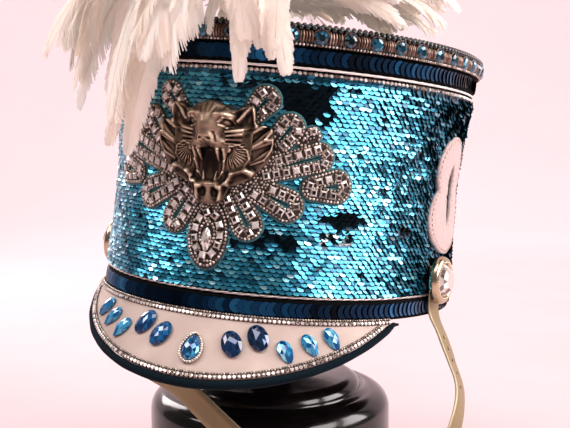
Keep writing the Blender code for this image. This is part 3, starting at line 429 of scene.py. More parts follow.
def satin_finish():
    """Polyester satin over the peak: a soft shine, a fine weave and a slow change of shade."""
    material, shader, place = surface("blush_polyester_satin", {"Roughness": 0.52, "Sheen Weight": 0.35,
                                                                "Sheen Roughness": 0.4})
    shade = add(material, "TexNoise", None, {"Vector": place, "Scale": 1 / (22 * MM), "Detail": 4.0})
    colour = add(material, "ValToRGB", None, {"Fac": shade.outputs["Fac"]},
                 ((0.3, "#ae988f"), (0.55, "#baa69c"), (0.75, "#c6b5ab")))
    connect(material, colour.outputs["Color"], shader, "Base Color")
    # The real weave is about 0.15 mm; it is drawn at 0.6 mm, the finest that shows
    weave = add(material, "TexWave", {"wave_type": "BANDS", "bands_direction": "DIAGONAL"},
                {"Vector": place, "Scale": 1 / (0.6 * MM) / 20, "Distortion": 2.0, "Detail": 2.0})
    bump = add(material, "Bump", None,
               {"Height": weave.outputs["Fac"], "Strength": 0.12, "Distance": 0.1 * MM})
    connect(material, bump.outputs["Normal"], shader, "Normal")
    return material


def buckram_finish():
    """Starched black buckram: an open square weave of 1.2 mm threads, dull."""
    material, shader, place = surface("black_buckram", {"Roughness": 0.8, "Sheen Weight": 0.15})
    weave = add(material, "TexBrick", {"offset": 0.5},
                {"Vector": place, "Scale": 1 / (2.4 * MM), "Color1": linear("#17191d"),
                 "Color2": linear("#0e1013"), "Mortar": linear("#040506"), "Mortar Size": 0.03})
    connect(material, weave.outputs["Color"], shader, "Base Color")
    bump = add(material, "Bump", {"invert": True},
               {"Height": weave.outputs["Fac"], "Strength": 0.5, "Distance": 0.2 * MM})
    connect(material, bump.outputs["Normal"], shader, "Normal")
    return material


def feather_finish():
    """Bleached goose and marabou: soft keratin that lets light through, warmer near the quill."""
    material, shader, place = surface("cream_feather", {"Roughness": 0.75, "Sheen Weight": 0.3})
    tone = add(material, "Attribute", {"attribute_name": "tone"})
    colour = add(material, "ValToRGB", None, {"Fac": tone.outputs["Fac"]},
                 ((0.0, "#e8d6c4"), (0.35, "#faf0e8"), (0.7, "#fffaf5"), (1.0, "#fffefc")))
    connect(material, colour.outputs["Color"], shader, "Base Color")
    # The feathers glow a little in their own colour: painted light that keeps the plume pale where it shades
    # itself
    connect(material, colour.outputs["Color"], shader, "Emission Color")
    shader.inputs["Emission Strength"].default_value = 0.08
    barbules = add(material, "TexNoise", None, {"Vector": place, "Scale": 1 / (0.4 * MM), "Detail": 2.0})
    bump = add(material, "Bump", None,
               {"Height": barbules.outputs["Fac"], "Strength": 0.25, "Distance": 0.1 * MM})
    connect(material, bump.outputs["Normal"], shader, "Normal")
    # Barbs are so thin that half of the light that meets them comes out behind
    through = add(material, "BsdfTranslucent", None, {"Color": colour.outputs["Color"]})
    both = add(material, "MixShader", None, {0: 0.5, 1: shader.outputs[0], 2: through.outputs[0]})
    connect(material, both.outputs[0], material.node_tree.nodes["Material Output"], "Surface")
    return material


def plastic_finish():
    """Injection-moulded ABS, black-brown and glossy, with a faint ripple and a film of dust."""
    material, shader, place = surface("glossy_black_abs", {"Coat Weight": 0.15, "Coat Roughness": 0.06,
                                                          "IOR": 1.45})
    dust = add(material, "TexNoise", None, {"Vector": place, "Scale": 1 / (14 * MM), "Detail": 8.0})
    colour = add(material, "ValToRGB", None, {"Fac": dust.outputs["Fac"]},
                 ((0.35, "#080506"), (0.6, "#100b0c"), (0.85, "#1c1617")))
    connect(material, colour.outputs["Color"], shader, "Base Color")
    gloss = add(material, "MapRange", None, {"Value": dust.outputs["Fac"], "From Min": 0.3, "From Max": 0.8,
                                             "To Min": 0.1, "To Max": 0.26})
    connect(material, gloss.outputs["Result"], shader, "Roughness")
    ripple = add(material, "TexNoise", None, {"Vector": place, "Scale": 1 / (30 * MM), "Detail": 1.0})
    bump = add(material, "Bump", None,
               {"Height": ripple.outputs["Fac"], "Strength": 0.15, "Distance": 0.4 * MM})
    connect(material, bump.outputs["Normal"], shader, "Normal")
    return material


# Lines, and small shapes, each as its points and its groups of equal-sided faces

def unit(rows):
    """Rows brought to a length of 1."""
    return rows / np.linalg.norm(rows, axis=-1, keepdims=True)


def line_reader(points):
    """A line's length, and a function that gives places at distances along it."""
    arcs = np.concatenate(([0.0], np.cumsum(np.linalg.norm(np.diff(points, axis=0), axis=1))))
    return arcs[-1], lambda wanted: np.stack([np.interp(wanted, arcs, column) for column in points.T], 1)


def even_line(points, pitch):
    """Places at an even pitch along a line, the direction of the line there, and their shares of it."""
    length, place_at = line_reader(points)
    count = max(2, round(length / pitch))
    wanted = (np.arange(count) + 0.5) / count * length
    places = place_at(wanted)
    return places, unit(place_at(wanted + pitch / 4) - places), wanted / length


def along_outline(points, pitch):
    """Even places round a closed flat outline, and the direction of the outline there."""
    length, place_at = line_reader(np.vstack((points, points[:1])))
    count = max(3, round(length / pitch))
    wanted = np.arange(count) / count * length
    places = place_at(wanted)
    way = place_at((wanted + pitch / 3) % length) - places
    return places, np.arctan2(way[:, 1], way[:, 0])


def grid(rows, columns, wrap_rows=False, wrap_columns=False):
    """Quads between the points of a grid stored row by row; they face columns cross rows."""
    i, j = np.meshgrid(np.arange(rows if wrap_rows else rows - 1),
                       np.arange(columns if wrap_columns else columns - 1), indexing="ij")
    k, m = (i + 1) % rows, (j + 1) % columns
    return np.stack((i * columns + j, i * columns + m, k * columns + m, k * columns + j), -1).reshape(-1, 4)


def from_bmesh(shape):
    """Points and face groups of a bmesh, which is freed."""
    shape.verts.ensure_lookup_table()
    shape.verts.index_update()
    points = np.array([vert.co[:] for vert in shape.verts])
    by_size = {}
    for face in shape.faces:
        by_size.setdefault(len(face.verts), []).append([vert.index for vert in face.verts])
    shape.free()
    return points, [np.array(faces) for faces in by_size.values()]


def bead_shape(detail):
    """A ball of radius 1; more detail makes it rounder."""
    ball = bmesh.new()
    bmesh.ops.create_icosphere(ball, subdivisions=detail, radius=1)
    return from_bmesh(ball)


def sequin_part(start, end, sides, dish):
    """The part of a round film of radius 1 between two places on its rim, pressed in at its middle."""
    turn = np.radians(np.linspace(start, end, sides))
    points = np.stack((np.cos(turn), np.sin(turn), dish * (np.sin(turn) ** 2 - 1)), 1)
    return points, [np.arange(sides)[None]]


def washer_shape(sides, hole):
    """A flat round film of radius 1 with its thread hole."""
    turn = np.arange(sides) * math.tau / sides
    ring = np.stack((np.cos(turn), np.sin(turn), np.zeros(sides)), 1)
    return np.vstack((ring * hole, ring)), [grid(2, sides, wrap_columns=True)[:, ::-1]]


def stack_shape(rings, sides, phase=0.0):
    """Rings of (radius, height) from the foot up, closed by a flat table; sharp facets between."""
    turn = (np.arange(sides) + phase) * math.tau / sides
    points = np.vstack([np.stack((radius * np.cos(turn), radius * np.sin(turn), np.full(sides, height)), 1)
                        for radius, height in rings])
    top = (len(rings) - 1) * sides
    return points, [grid(len(rings), sides, wrap_columns=True), np.arange(top, top + sides)[None]]


def turned_shape(profile, steps):
    """A profile of (radius, height) turned about +Z, from its foot up."""
    turn = np.linspace(0, math.tau, steps, endpoint=False)
    rows = [np.stack((r * np.cos(turn), r * np.sin(turn), np.full(steps, z)), 1) for r, z in profile]
    last = (len(rows) - 1) * steps
    return np.vstack(rows), [grid(len(rows), steps, wrap_columns=True), np.arange(steps)[None, ::-1],
                             np.arange(last, last + steps)[None]]


def checker_stone(outline, width, length, rise, cell):
    """A domed stone whose face is cut in a checkerboard set on its corner; outline shapes its girdle."""
    stone = bmesh.new()
    reach = int(length / cell) + 2
    points = []
    for i in range(-reach, reach + 1):
        for j in range(-reach, reach + 1):
            x, y = (i + j) * cell / 2, (i - j) * cell / 2
            girdle = outline(math.atan2(y * width, x * length))
            share = math.hypot(2 * x / (width * girdle), 2 * y / length)
            if share < 0.92:
                fall = 0.55 * (2 * x / width) ** 2 + 0.55 * (2 * y / length) ** 2
                points.append((x, y, rise * (1 - fall)))
    for i in range(24):
        turn = math.tau * i / 24
        girdle = outline(turn)
        x, y = math.cos(turn) * width / 2 * girdle, math.sin(turn) * length / 2
        points += [(x, y, 0.30 * rise), (0.96 * x, 0.96 * y, 0.0)]
    made = [stone.verts.new(point) for point in points]
    bmesh.ops.convex_hull(stone, input=made)
    loose = [vert for vert in stone.verts if not vert.link_faces]
    bmesh.ops.delete(stone, geom=loose, context="VERTS")
    bmesh.ops.dissolve_limit(stone, angle_limit=math.radians(1.5), verts=stone.verts, edges=stone.edges)
    bmesh.ops.recalc_face_normals(stone, faces=stone.faces)
    return from_bmesh(stone)


def oval_outline(turn):
    """Width of an oval stone, which is pinched nowhere."""
    return 1.0


def drop_outline(turn):
    """Width of a pear-shaped stone, which narrows to its foot at -Y."""
    return 1 - 0.42 * ((1 - math.sin(turn)) / 2) ** 2


def marquise_outline(turn):
    """Width of a long stone, which narrows to both its ends."""
    return 1 - 0.3 * math.sin(turn) ** 2


class Piece:
    """Gathers shapes drawn in the hat's frame into one mesh that rides on the frame."""

    def __init__(self, name, slot, *nodes):
        self.name, self.slot, self.nodes = name, slot, nodes
        self.points, self.faces, self.tones, self.finishes, self.smooth = [], [], [], [], []
        self.materials, self.count = [], 0

    def add(self, shape, material, tone=0.5, spread=0.0, smooth=True):
        """Adds a shape; tone is one value or one for each copy in it, and spread varies each face."""
        points, groups = shape
        if material not in self.materials:
            self.materials.append(material)
        for faces in groups:
            tones = np.atleast_1d(np.asarray(tone, dtype=float))
            tones = np.repeat(tones, len(faces) // len(tones))
            self.faces.append(faces + self.count)
            self.tones.append(np.clip(tones + RANDOM.uniform(-spread, spread, len(faces)), 0, 1))
            self.finishes.append(np.full(len(faces), self.materials.index(material)))
            self.smooth.append(np.full(len(faces), smooth))
        self.points.append(points)
        self.count += len(points)

    def scatter(self, shape, origins, axes, material, tone=0.5, spread=0.0, smooth=True):
        """Repeats a small shape at many places; axes holds each copy's three axes as rows."""
        points, groups = shape
        placed = origins[:, None] + np.einsum("pk,nkc->npc", points, axes)
        shift = np.arange(len(origins))[:, None, None] * len(points)
        groups = [(faces[None] + shift).reshape(-1, faces.shape[1]) for faces in groups]
        self.add((placed.reshape(-1, 3), groups), material, tone, spread, smooth)

    def done(self, matrix=HAT):
        turn, shift = np.array(matrix.to_3x3()), np.array(matrix.translation)
        points = np.vstack(self.points) @ turn.T + shift
        corners = np.concatenate([faces.ravel() for faces in self.faces])
        sizes = np.concatenate([np.full(len(faces), faces.shape[1]) for faces in self.faces])
        starts = np.concatenate(([0], np.cumsum(sizes)[:-1]))
        mesh = bpy.data.meshes.new(self.name)
        mesh.vertices.add(len(points))
        mesh.vertices.foreach_set("co", points.astype(np.float32).ravel())
        mesh.loops.add(len(corners))
        mesh.loops.foreach_set("vertex_index", corners.astype(np.int32))
        mesh.polygons.add(len(sizes))
        mesh.polygons.foreach_set("loop_start", starts.astype(np.int32))
        mesh.polygons.foreach_set("material_index", np.concatenate(self.finishes).astype(np.int32))
        mesh.polygons.foreach_set("use_smooth", np.concatenate(self.smooth))
        tone = mesh.attributes.new("tone", "FLOAT", "FACE")
        tone.data.foreach_set("value", np.concatenate(self.tones).astype(np.float32))
        for material in self.materials:
            mesh.materials.append(material)
        mesh.update(calc_edges=True)
        mesh.validate()
        obj = bpy.data.objects.new(self.name, mesh)
        bpy.context.scene.collection.objects.link(obj)
        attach(obj, "root")
        if self.nodes:
            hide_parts(*self.nodes)
        return obj


# Places on the wall and on the peak

def smooth_profile():
    """The wall's girth read as a soft curve through the profile's shares."""
    shares, girths = zip(*CROWN_PROFILE)
    fine = np.linspace(-0.2, 1.2, 281)
    rough = np.interp(fine, shares, girths)
    rough += np.where(fine > 1, (fine - 1) * 0.1, 0) - np.where(fine < 0, fine * 0.08, 0)
    window = np.hanning(33)
    return fine, np.convolve(rough, window / window.sum(), mode="same")


GIRTH_SHARES, GIRTHS = smooth_profile()


def wall_normal(angle):
    return unit(np.stack((np.sin(angle) / HALF_WIDTH, -np.cos(angle) / HALF_LENGTH,
                          np.zeros_like(angle)), -1))


def wall(angle, z, out=0.0):
    """Points on the crown's wall, for arrays of angles, heights and distances out."""
    angle, z, out = np.broadcast_arrays(np.asarray(angle, float), z, out)
    radius = MEAN_RADIUS * np.interp(z / CROWN_HEIGHT, GIRTH_SHARES, GIRTHS)
    point = np.stack((radius * ACROSS * np.sin(angle), -radius * ALONG * np.cos(angle), z), -1)
    return point + wall_normal(angle) * out[..., None]


def wall_axes(angle, z):
    """Axes at places on the wall: along it, up it and out of it."""
    angle, z = np.broadcast_arrays(np.asarray(angle, float), z)
    up = unit(wall(angle, z + MM) - wall(angle, z - MM))
    along = unit(np.cross(up, wall_normal(angle)))
    return np.stack((along, up, np.cross(along, up)), -2)


def spin(axes, turn, axis):
    """Turns each set of axes about its own axis 0, 1 or 2."""
    one, two = [i for i in range(3) if i != axis]
    if axis == 1:
        one, two = two, one
    turned = axes.copy()
    c, s = np.cos(turn)[..., None], np.sin(turn)[..., None]
    turned[..., one, :] = axes[..., one, :] * c + axes[..., two, :] * s
    turned[..., two, :] = axes[..., two, :] * c - axes[..., one, :] * s
    return turned


ARC_ANGLES = np.linspace(-math.pi, math.pi, 1441)
SPEED = np.hypot(HALF_WIDTH * np.cos(ARC_ANGLES), HALF_LENGTH * np.sin(ARC_ANGLES))
ARCS = np.concatenate(([0.0], np.cumsum((SPEED[1:] + SPEED[:-1]) / 2 * np.diff(ARC_ANGLES))))
ARCS -= ARCS[-1] / 2
ROUND = 2 * ARCS[-1]


def angle_at(arc):
    return np.interp(arc, ARCS, ARC_ANGLES)


def arc_at(angle):
    return np.interp(angle, ARC_ANGLES, ARCS)


def even_angles(pitch, shift=0.0):
    """Angles all round the crown at an even pitch along the wall."""
    count = round(ROUND / pitch)
    return angle_at((np.arange(count) + shift) / count * ROUND - ROUND / 2)


def scaled(axes, size):
    return axes * np.asarray(size, float).reshape(-1, 1, 1)


ROUND_ANGLES = np.linspace(-math.pi, math.pi, WALL_STEPS, endpoint=False)


def sleeve(low, high, profile):
    """A closed sleeve round the wall; profile has (share of height, distance out), from the outside in."""
    rows = [wall(ROUND_ANGLES, low + share * (high - low), out) for share, out in profile]
    return np.vstack(rows), [grid(len(rows), WALL_STEPS, wrap_rows=True, wrap_columns=True)]


def band_profile(outer, inner, count=12):
    """Up the outer face and down the inner one."""
    shares = np.linspace(0, 1, count)
    return [(share, outer) for share in shares] + [(share, inner) for share in shares[::-1]]


def tape_profile(out):
    """A flat tape on the wall, with its outer face at a distance out."""
    return [(0, out), (1, out), (1, -CLOTH_WALL), (0, -CLOTH_WALL)]


def sweep(centres, across, upward, radii, closed):
    """A tube along centres; radii has one row a centre, each holding the tube's radius round it."""
    sides = radii.shape[1]
    turn = np.arange(sides) * math.tau / sides
    points = (centres[:, None] + across[:, None] * (radii * np.cos(turn))[..., None]
              + upward[:, None] * (radii * np.sin(turn))[..., None])
    faces = [grid(len(centres), sides, wrap_rows=closed, wrap_columns=True)]
    if not closed:
        last = (len(centres) - 1) * sides
        faces += [np.arange(sides)[None, ::-1], np.arange(last, last + sides)[None]]
    return points.reshape(-1, 3), faces


def twisted(count, sides, radius, lobes, turns):
    """Radii of a cord of twisted strands."""
    turn = np.arange(sides) * math.tau / sides
    along = np.arange(count)[:, None] / count
    return radius * (0.84 + 0.16 * np.cos(lobes * turn - turns * math.tau * along))


def peak_frame(angle):
    """Down the peak's slope and square to its face, for arrays of angles."""
    out, up = wall_normal(angle), np.array((0, 0, 1.0))
    down = out * math.cos(PEAK_SLOPE) - up * math.sin(PEAK_SLOPE)
    square = out * math.sin(PEAK_SLOPE) + up * math.cos(PEAK_SLOPE)
    return down, square


def peak_point(angle, reach, lift):
    angle, reach, lift = np.broadcast_arrays(np.asarray(angle, float), reach, lift)
    down, square = peak_frame(angle)
    return wall(angle, 0.0) + down * reach[..., None] + square * lift[..., None]


def peak_edge(angle):
    return PEAK_REACH * np.cos(math.pi / 2 * angle / PEAK_SPAN)


def angle_of_edge(reach):
    return PEAK_SPAN * math.acos(reach / PEAK_REACH) / (math.pi / 2)


# The front ornament's loops, in metres about its centre

def loop_rows():
    """Each loop on both sides, as foot, tip, foot radius and tip radius."""
    rows = []
    for side in (1, -1):
        for foot_x, foot_y, tip_x, tip_y, foot_radius, tip_radius in LOOPS:
            foot = np.array((side * foot_x, foot_y)) * APPLIQUE_HALF_WIDTH
            tip = np.array((side * tip_x, tip_y)) * APPLIQUE_HALF_WIDTH
            rows.append((foot, tip, foot_radius * APPLIQUE_HALF_WIDTH, tip_radius * APPLIQUE_HALF_WIDTH))
    return rows


def inside_loop(places, row):
    """How far places lie inside a loop's outline; negative outside it."""
    foot, tip, foot_radius, tip_radius = row
    way = tip - foot
    share = np.clip(((places - foot) @ way) / (way @ way), 0, 1)
    nearest = foot + share[:, None] * way
    return foot_radius + share * (tip_radius - foot_radius) - np.linalg.norm(places - nearest, axis=1)


def inside_pad(places, pad):
    across, up, half_width, half_height = (value * APPLIQUE_HALF_WIDTH for value in pad)
    share = np.hypot((places[:, 0] - across) / half_width, (places[:, 1] - up) / half_height)
    return (1 - share) * min(half_width, half_height)


def inside_ornament(places):
    depths = [inside_loop(places, row) for row in loop_rows()] + [inside_pad(places, pad) for pad in PADS]
    return np.max(depths, axis=0)


def head_radius(turn):
    degrees, shares = zip(*HEAD_OUTLINE)
    return HEAD_HALF_SPAN * np.interp(np.abs(np.degrees(turn)), degrees, shares)


def patch_radii(turn):
    """Outer edge and slot edge of the felt patch, along rays from its middle."""
    half_width, half_height = PATCH_WIDTH / 2, PATCH_HEIGHT / 2
    lobes = ((0.42, 0.80, 0.58), (-0.38, 1.0, 0.62))
    way = np.stack((np.sin(turn), np.cos(turn)), -1)
    exits = []
    for up, wide, tall in lobes:
        size = np.array((wide * half_width, tall * half_height))
        start, step = np.array((0, -up * half_height)) / size, way / size
        a, b, c = (step ** 2).sum(-1), (start * step).sum(-1), (start ** 2).sum() - 1
        exits.append((-b + np.sqrt(b * b - a * c)) / a)
    slot = 1 / np.hypot(way[..., 0] / (0.15 * half_width), way[..., 1] / (0.50 * half_height))
    return np.maximum(*exits), slot


# Pieces

def build_stand(finish):
    """The turned drum, its boss, post and domed head, with soft moulded edges."""
    normal = HAT.to_3x3() @ Vector((0, 0, 1))
    underside = TOP_Z - TOP_PLATE
    dome_z = (HAT.translation.dot(normal) + underside - STAND_HEAD_CURVE - FIT) / normal.z
    rim_turn = math.asin(STAND_HEAD_RADIUS / STAND_HEAD_CURVE)
    turns = np.linspace(0.02, rim_turn, 10)
    profile = [(STAND_HEAD_CURVE * math.sin(t), dome_z + STAND_HEAD_CURVE * math.cos(t)) for t in turns]
    rim_z = profile[-1][1]
    foot = DRUM_HEIGHT + BOSS_HEIGHT
    profile += [(STAND_HEAD_RADIUS, rim_z - 0.5 * MM), (STAND_HEAD_RADIUS, rim_z - STAND_HEAD_EDGE),
                (POST_RADIUS + 3 * MM, rim_z - 2.2 * STAND_HEAD_EDGE),
                (POST_RADIUS, rim_z - 2.9 * STAND_HEAD_EDGE), (POST_RADIUS, foot + 6 * MM),
                (POST_RADIUS + 1.5 * MM, foot + 1.5 * MM), (POST_RADIUS + 6 * MM, foot)]
    for t in np.linspace(0, math.pi / 2, 8):
        profile.append((BOSS_RADIUS - BOSS_HEIGHT * (1 - math.sin(t)),
                        DRUM_HEIGHT + BOSS_HEIGHT * math.cos(t)))
    for t in np.linspace(0, math.pi / 2, 10):
        profile.append((DRUM_RADIUS - DRUM_SHOULDER * (1 - math.sin(t)),
                        DRUM_HEIGHT - DRUM_SHOULDER * (1 - math.cos(t))))
    profile += [(DRUM_RADIUS, 1.2 * MM), (DRUM_RADIUS - 1.2 * MM, 0.0), (1 * MM, 0.0)]
    piece = Piece("display_stand", "stand_plastic", "stand")
    piece.add(turned_shape(profile[::-1], STAND_STEPS), finish["plastic"])
    piece.done(Matrix.Identity(4))


def build_shell(finish):
    """The buckram crown, open below, with its recessed and slightly domed top."""
    piece = Piece("buckram_crown", "buckram", "crown_shell", "crown_top")
    outer = -CLOTH_WALL - FIT
    inner = outer - SHELL_WALL
    piece.add(sleeve(0.0, CROWN_HEIGHT - FIT, band_profile(outer, inner, 24)), finish["buckram"])
    # The plate's rows run in over its top to a pinhole, and back out below
    rim = wall(ROUND_ANGLES, TOP_Z, inner - FIT)
    over = [(share, TOP_Z + TOP_DOME * (1 - share ** 2)) for share in np.linspace(1.0, 0.001, 16)]
    rows = [rim * (share, share, 0) + (0, 0, z)
            for share, z in (*over, (0.001, TOP_Z - TOP_PLATE), (1.0, TOP_Z - TOP_PLATE))]
    plate = np.vstack(rows), [grid(len(rows), WALL_STEPS, wrap_rows=True, wrap_columns=True)]
    piece.add(plate, finish["buckram"])
    piece.done()


def build_sequins(finish):
    """Rows of dished turquoise sequins, each row lapping the one below, on a dark net."""
    piece = Piece("turquoise_sequin_cloth", "turquoise_sequins", "sequin_cloth")
    piece.add(sleeve(FIELD_Z, FIELD_Z + FIELD_HEIGHT, band_profile(0.0, -CLOTH_WALL, 24)), finish["net"])
    count = round(ROUND / SEQUIN_PITCH)
    row, column = np.meshgrid(np.arange(SEQUIN_ROWS), np.arange(count), indexing="ij")
    arc = ((column + 0.5 * (row % 2)) / count * ROUND - ROUND / 2).ravel()
    low, high = FIELD_Z + 1.7 * MM, FIELD_Z + FIELD_HEIGHT - 0.9 * MM
    z = (low + row / (SEQUIN_ROWS - 1) * (high - low)).ravel()
    sway = 0.35 * MM * np.sin(arc / (17 * MM)) * np.cos(z / (23 * MM))
    arc = arc + RANDOM.normal(0, 0.16 * MM, arc.shape)
    z = z + sway + RANDOM.normal(0, 0.10 * MM, arc.shape)
    places = np.stack((arc, z - APPLIQUE_CENTRE), 1)
    hidden = inside_ornament(places) > 0.6 * MM
    for side in (1, -1):
        around = arc - arc_at(side * PATCH_ANGLE)
        outer, slot = patch_radii(np.arctan2(around, z - PATCH_CENTRE))
        distance = np.hypot(around, z - PATCH_CENTRE)
        hidden |= (distance < outer - 0.6 * MM) & (distance > slot - 1.2 * MM)
        around = arc - arc_at(side * BUTTON_ANGLE)
        hidden |= (np.abs(around) < STRAP_WIDTH / 2 + 0.8 * MM) & (z < BUTTON_HEIGHT + STRAP_TOP + 1 * MM)
        hidden |= np.hypot(around, z - BUTTON_HEIGHT) < BUTTON_WIDTH / 2 - 1.5 * MM
    arc, z = arc[~hidden], z[~hidden]
    angle = angle_at(arc)
    total = len(arc)
    axes = wall_axes(angle, z)
    # Round the sides the sequins hang more loosely: they turn away, stand out, and let the net show between
    loose = np.clip((np.abs(arc) / MM - 62) / 60, 0, 1)
    tilt = RANDOM.normal(SEQUIN_LEAN, math.radians(3) * (1 + 1.6 * loose), total)
    yaw = RANDOM.normal(SEQUIN_YAW, math.radians(4) * (1 + loose), total) + math.radians(6) * loose
    wave = 0.12 * np.sin(arc / (31 * MM) + 2 * np.sin(z / (37 * MM))) * np.cos(z / (19 * MM))
    over, silver = brushed_over(arc, z)
    # A hand has smoothed the nap below the ornament, so that it lies flatter there and shines less
    nap = 0.08 * np.exp(-((arc / MM - 10) / 34) ** 2 - ((z / MM - 36) / 24) ** 2)
    tilt = np.where(over, RANDOM.normal(math.radians(7), math.radians(7), total), tilt + 1.2 * wave + nap)
    axes = spin(axes, tilt, 0)
    axes = spin(axes, yaw, 1)
    axes = spin(axes, RANDOM.normal(0, math.radians(5), total), 2)
    origins = wall(angle, z, (0.9 + 0.3 * loose) * MM)
    # The wave that tilts the sequins also paints their tone lighter or darker: a painted reflection that
    # follows the tilt
    tone = np.clip(0.5 + 0.9 * wave + RANDOM.normal(0, 0.17, total), 0.05, 1.0)
    size = SEQUIN_RADIUS * RANDOM.normal(1.0, 0.02, total)
    back = np.where(silver, 0.85, 0.22) + RANDOM.normal(0, 0.12, total)
    # Each sequin's upper part, where the row above would shade it, is painted to 0.3 of its tone: painted
    # shade; its open crescent below keeps its tone
    for start, end, shade in ((-168, -12, 1.0), (-12, 192, 0.3)):
        part = sequin_part(start, end, 7, SEQUIN_DISH)
        for some, look, film in ((~over, tone, "turquoise_film"), (over, back, "film_back")):
            piece.scatter(part, origins[some], scaled(axes[some], size[some]), finish[film],
                          look[some] * shade, 0.03, smooth=False)
    piece.done()


# Where the sequins have been brushed over: arc, height, half width, half height, share turned, silver share
BRUSHED = (
    (34, 101.5, 31, 1.9, 0.97, 0.0),
    (35, 96, 16, 5.0, 0.97, 0.0),
    (42, 89, 9, 5.5, 0.95, 0.0),
    (26, 35, 16, 5.5, 0.62, 0.02),
    (60, 45.5, 12, 3.2, 0.97, 0.0),
    (58, 37, 8, 4.0, 0.75, 0.7),
    (97, 41, 4, 3.0, 0.80, 0.35),
    (-70, 90, 10, 4.5, 0.80, 0.0),
    (-150, 60, 14, 8.0, 0.60, 0.02),
    (190, 45, 11, 9.0, 0.55, 0.05),
)


def brushed_over(arc, z):
    """Which sequins lie wrong side out, and which of them show silver."""
    over = RANDOM.random(len(arc)) < 0.012
    silver = np.zeros(len(arc), bool)
    for across, up, half_width, half_height, share, bright in BRUSHED:
        edge = np.hypot((arc / MM - across) / half_width, (z / MM - up) / half_height)
        ragged = edge + RANDOM.normal(0, 0.10, len(arc)) < 1
        hit = ragged & (RANDOM.random(len(arc)) < share)
        over |= hit
        silver |= hit & (RANDOM.random(len(arc)) < bright)
    return over, silver


def build_bands(finish):
    """Black ribbons above and below the field, each under one lapping row of navy sequins."""
    for name, node, foot, height in (
            ("lower_navy_band", "lower_band", LOWER_BAND_Z, LOWER_BAND_HEIGHT),
            ("upper_navy_band", "upper_band", UPPER_BAND_Z, UPPER_BAND_HEIGHT)):
        piece = Piece(name, "navy_sequins", node)
        piece.add(sleeve(foot, foot + height, band_profile(0.0, -CLOTH_WALL, 8)), finish["ribbon"])
        angle = even_angles(BAND_SEQUIN_PITCH)
        z = foot + height / 2 + RANDOM.normal(0, 0.12 * MM, len(angle))
        axes = spin(wall_axes(angle, z), RANDOM.normal(math.radians(9), math.radians(1.5), len(angle)), 1)
        axes = spin(axes, RANDOM.normal(0, math.radians(2), len(angle)), 0)
        # The tone rises and falls slowly round the band: painted sheen on sequins that are all one navy film
        tone = 0.42 + 0.3 * np.sin(arc_at(angle) / (13 * MM)) + RANDOM.normal(0, 0.12, len(angle))
        piece.scatter(washer_shape(20, 0.13), wall(angle, z, 0.62 * MM), scaled(axes, BAND_SEQUIN_RADIUS),
                      finish["navy_film"], tone, smooth=False)
        piece.done()


def ring_frames(count, z, out):
    """Even places round the wall, with the directions along, up and out there."""
    angle = angle_at(np.arange(count) / count * ROUND - ROUND / 2)
    return wall(angle, z, out), wall_axes(angle, z)


def build_pipings(finish):
    """Two twisted cords round the wall, one above and one below the field."""
    # Each with its foot on the wall, its size, its yarn and the length of a strand's turn
    for piece, foot, size, yarn, strand in (
            (Piece("lower_silver_cord", "silver_trim", "lower_piping"),
             LOWER_PIPING_Z, LOWER_PIPING, "lurex", 1.9 * MM),
            (Piece("upper_white_piping", "white_piping", "upper_piping"),
             UPPER_PIPING_Z, UPPER_PIPING, "piping", 2.1 * MM)):
        turns = round(ROUND / strand / 3)
        count = turns * 7
        radius = 0.38 * size
        centres, axes = ring_frames(count, foot + size / 2, 0.15 * MM)
        radii = twisted(count, 9, radius, 3, turns)
        # Each strand is painted lighter on its crest and darker in the grooves between strands: painted shade
        tone = 0.5 + 0.5 * (radii / radius - 0.84) / 0.16
        tape = sleeve(foot - 0.25 * MM, foot + size + 0.25 * MM, tape_profile(-0.3 * MM))
        piece.add(tape, finish["ribbon"], 0.2)
        piece.add(sweep(centres, axes[:, 2], axes[:, 1], radii, True), finish[yarn], tone.ravel())
        piece.done()


def chain_rows(piece, finish, centres, axes, stone):
    """Small round stones in cups at their places along a line; axes are along, across and up."""
    cup = stack_shape(((0.92, 0.0), (1.0, 0.45), (0.84, 0.62)), 8)
    gem = stack_shape(((0.84, 0.45), (0.84, 0.62), (0.48, 1.0)), 8, 0.5)
    # Each stone gets its own lighter or darker tone at random: a painted reflection
    bright = np.clip(RANDOM.normal(0.6, 0.2, len(centres)), 0.1, 1)
    piece.scatter(cup, centres, scaled(axes, stone / 2), finish["cup"], 0.55, 0.2, smooth=False)
    piece.scatter(gem, centres, scaled(axes, stone / 2), finish["crystal"], bright, 0.25, smooth=False)


def build_upper_chain(finish):
    """A chain of fine stones in cups, hard under the white piping."""
    piece = Piece("upper_rhinestone_chain", "silver_trim", "upper_chain")
    middle = UPPER_CHAIN_Z + UPPER_CHAIN / 2
    centres, axes = ring_frames(round(ROUND / CHAIN_PITCH), middle, -0.9 * MM)
    chain_rows(piece, finish, centres, axes, UPPER_CHAIN * 1.02)
    strip_z = UPPER_CHAIN_Z + 0.3 * MM
    # The strip behind the stones is the cups' metal painted dark: painted shade in the gaps between them
    piece.add(sleeve(strip_z, strip_z + UPPER_CHAIN - 0.6 * MM, tape_profile(-0.4 * MM)), finish["cup"], 0.1)
    piece.done()


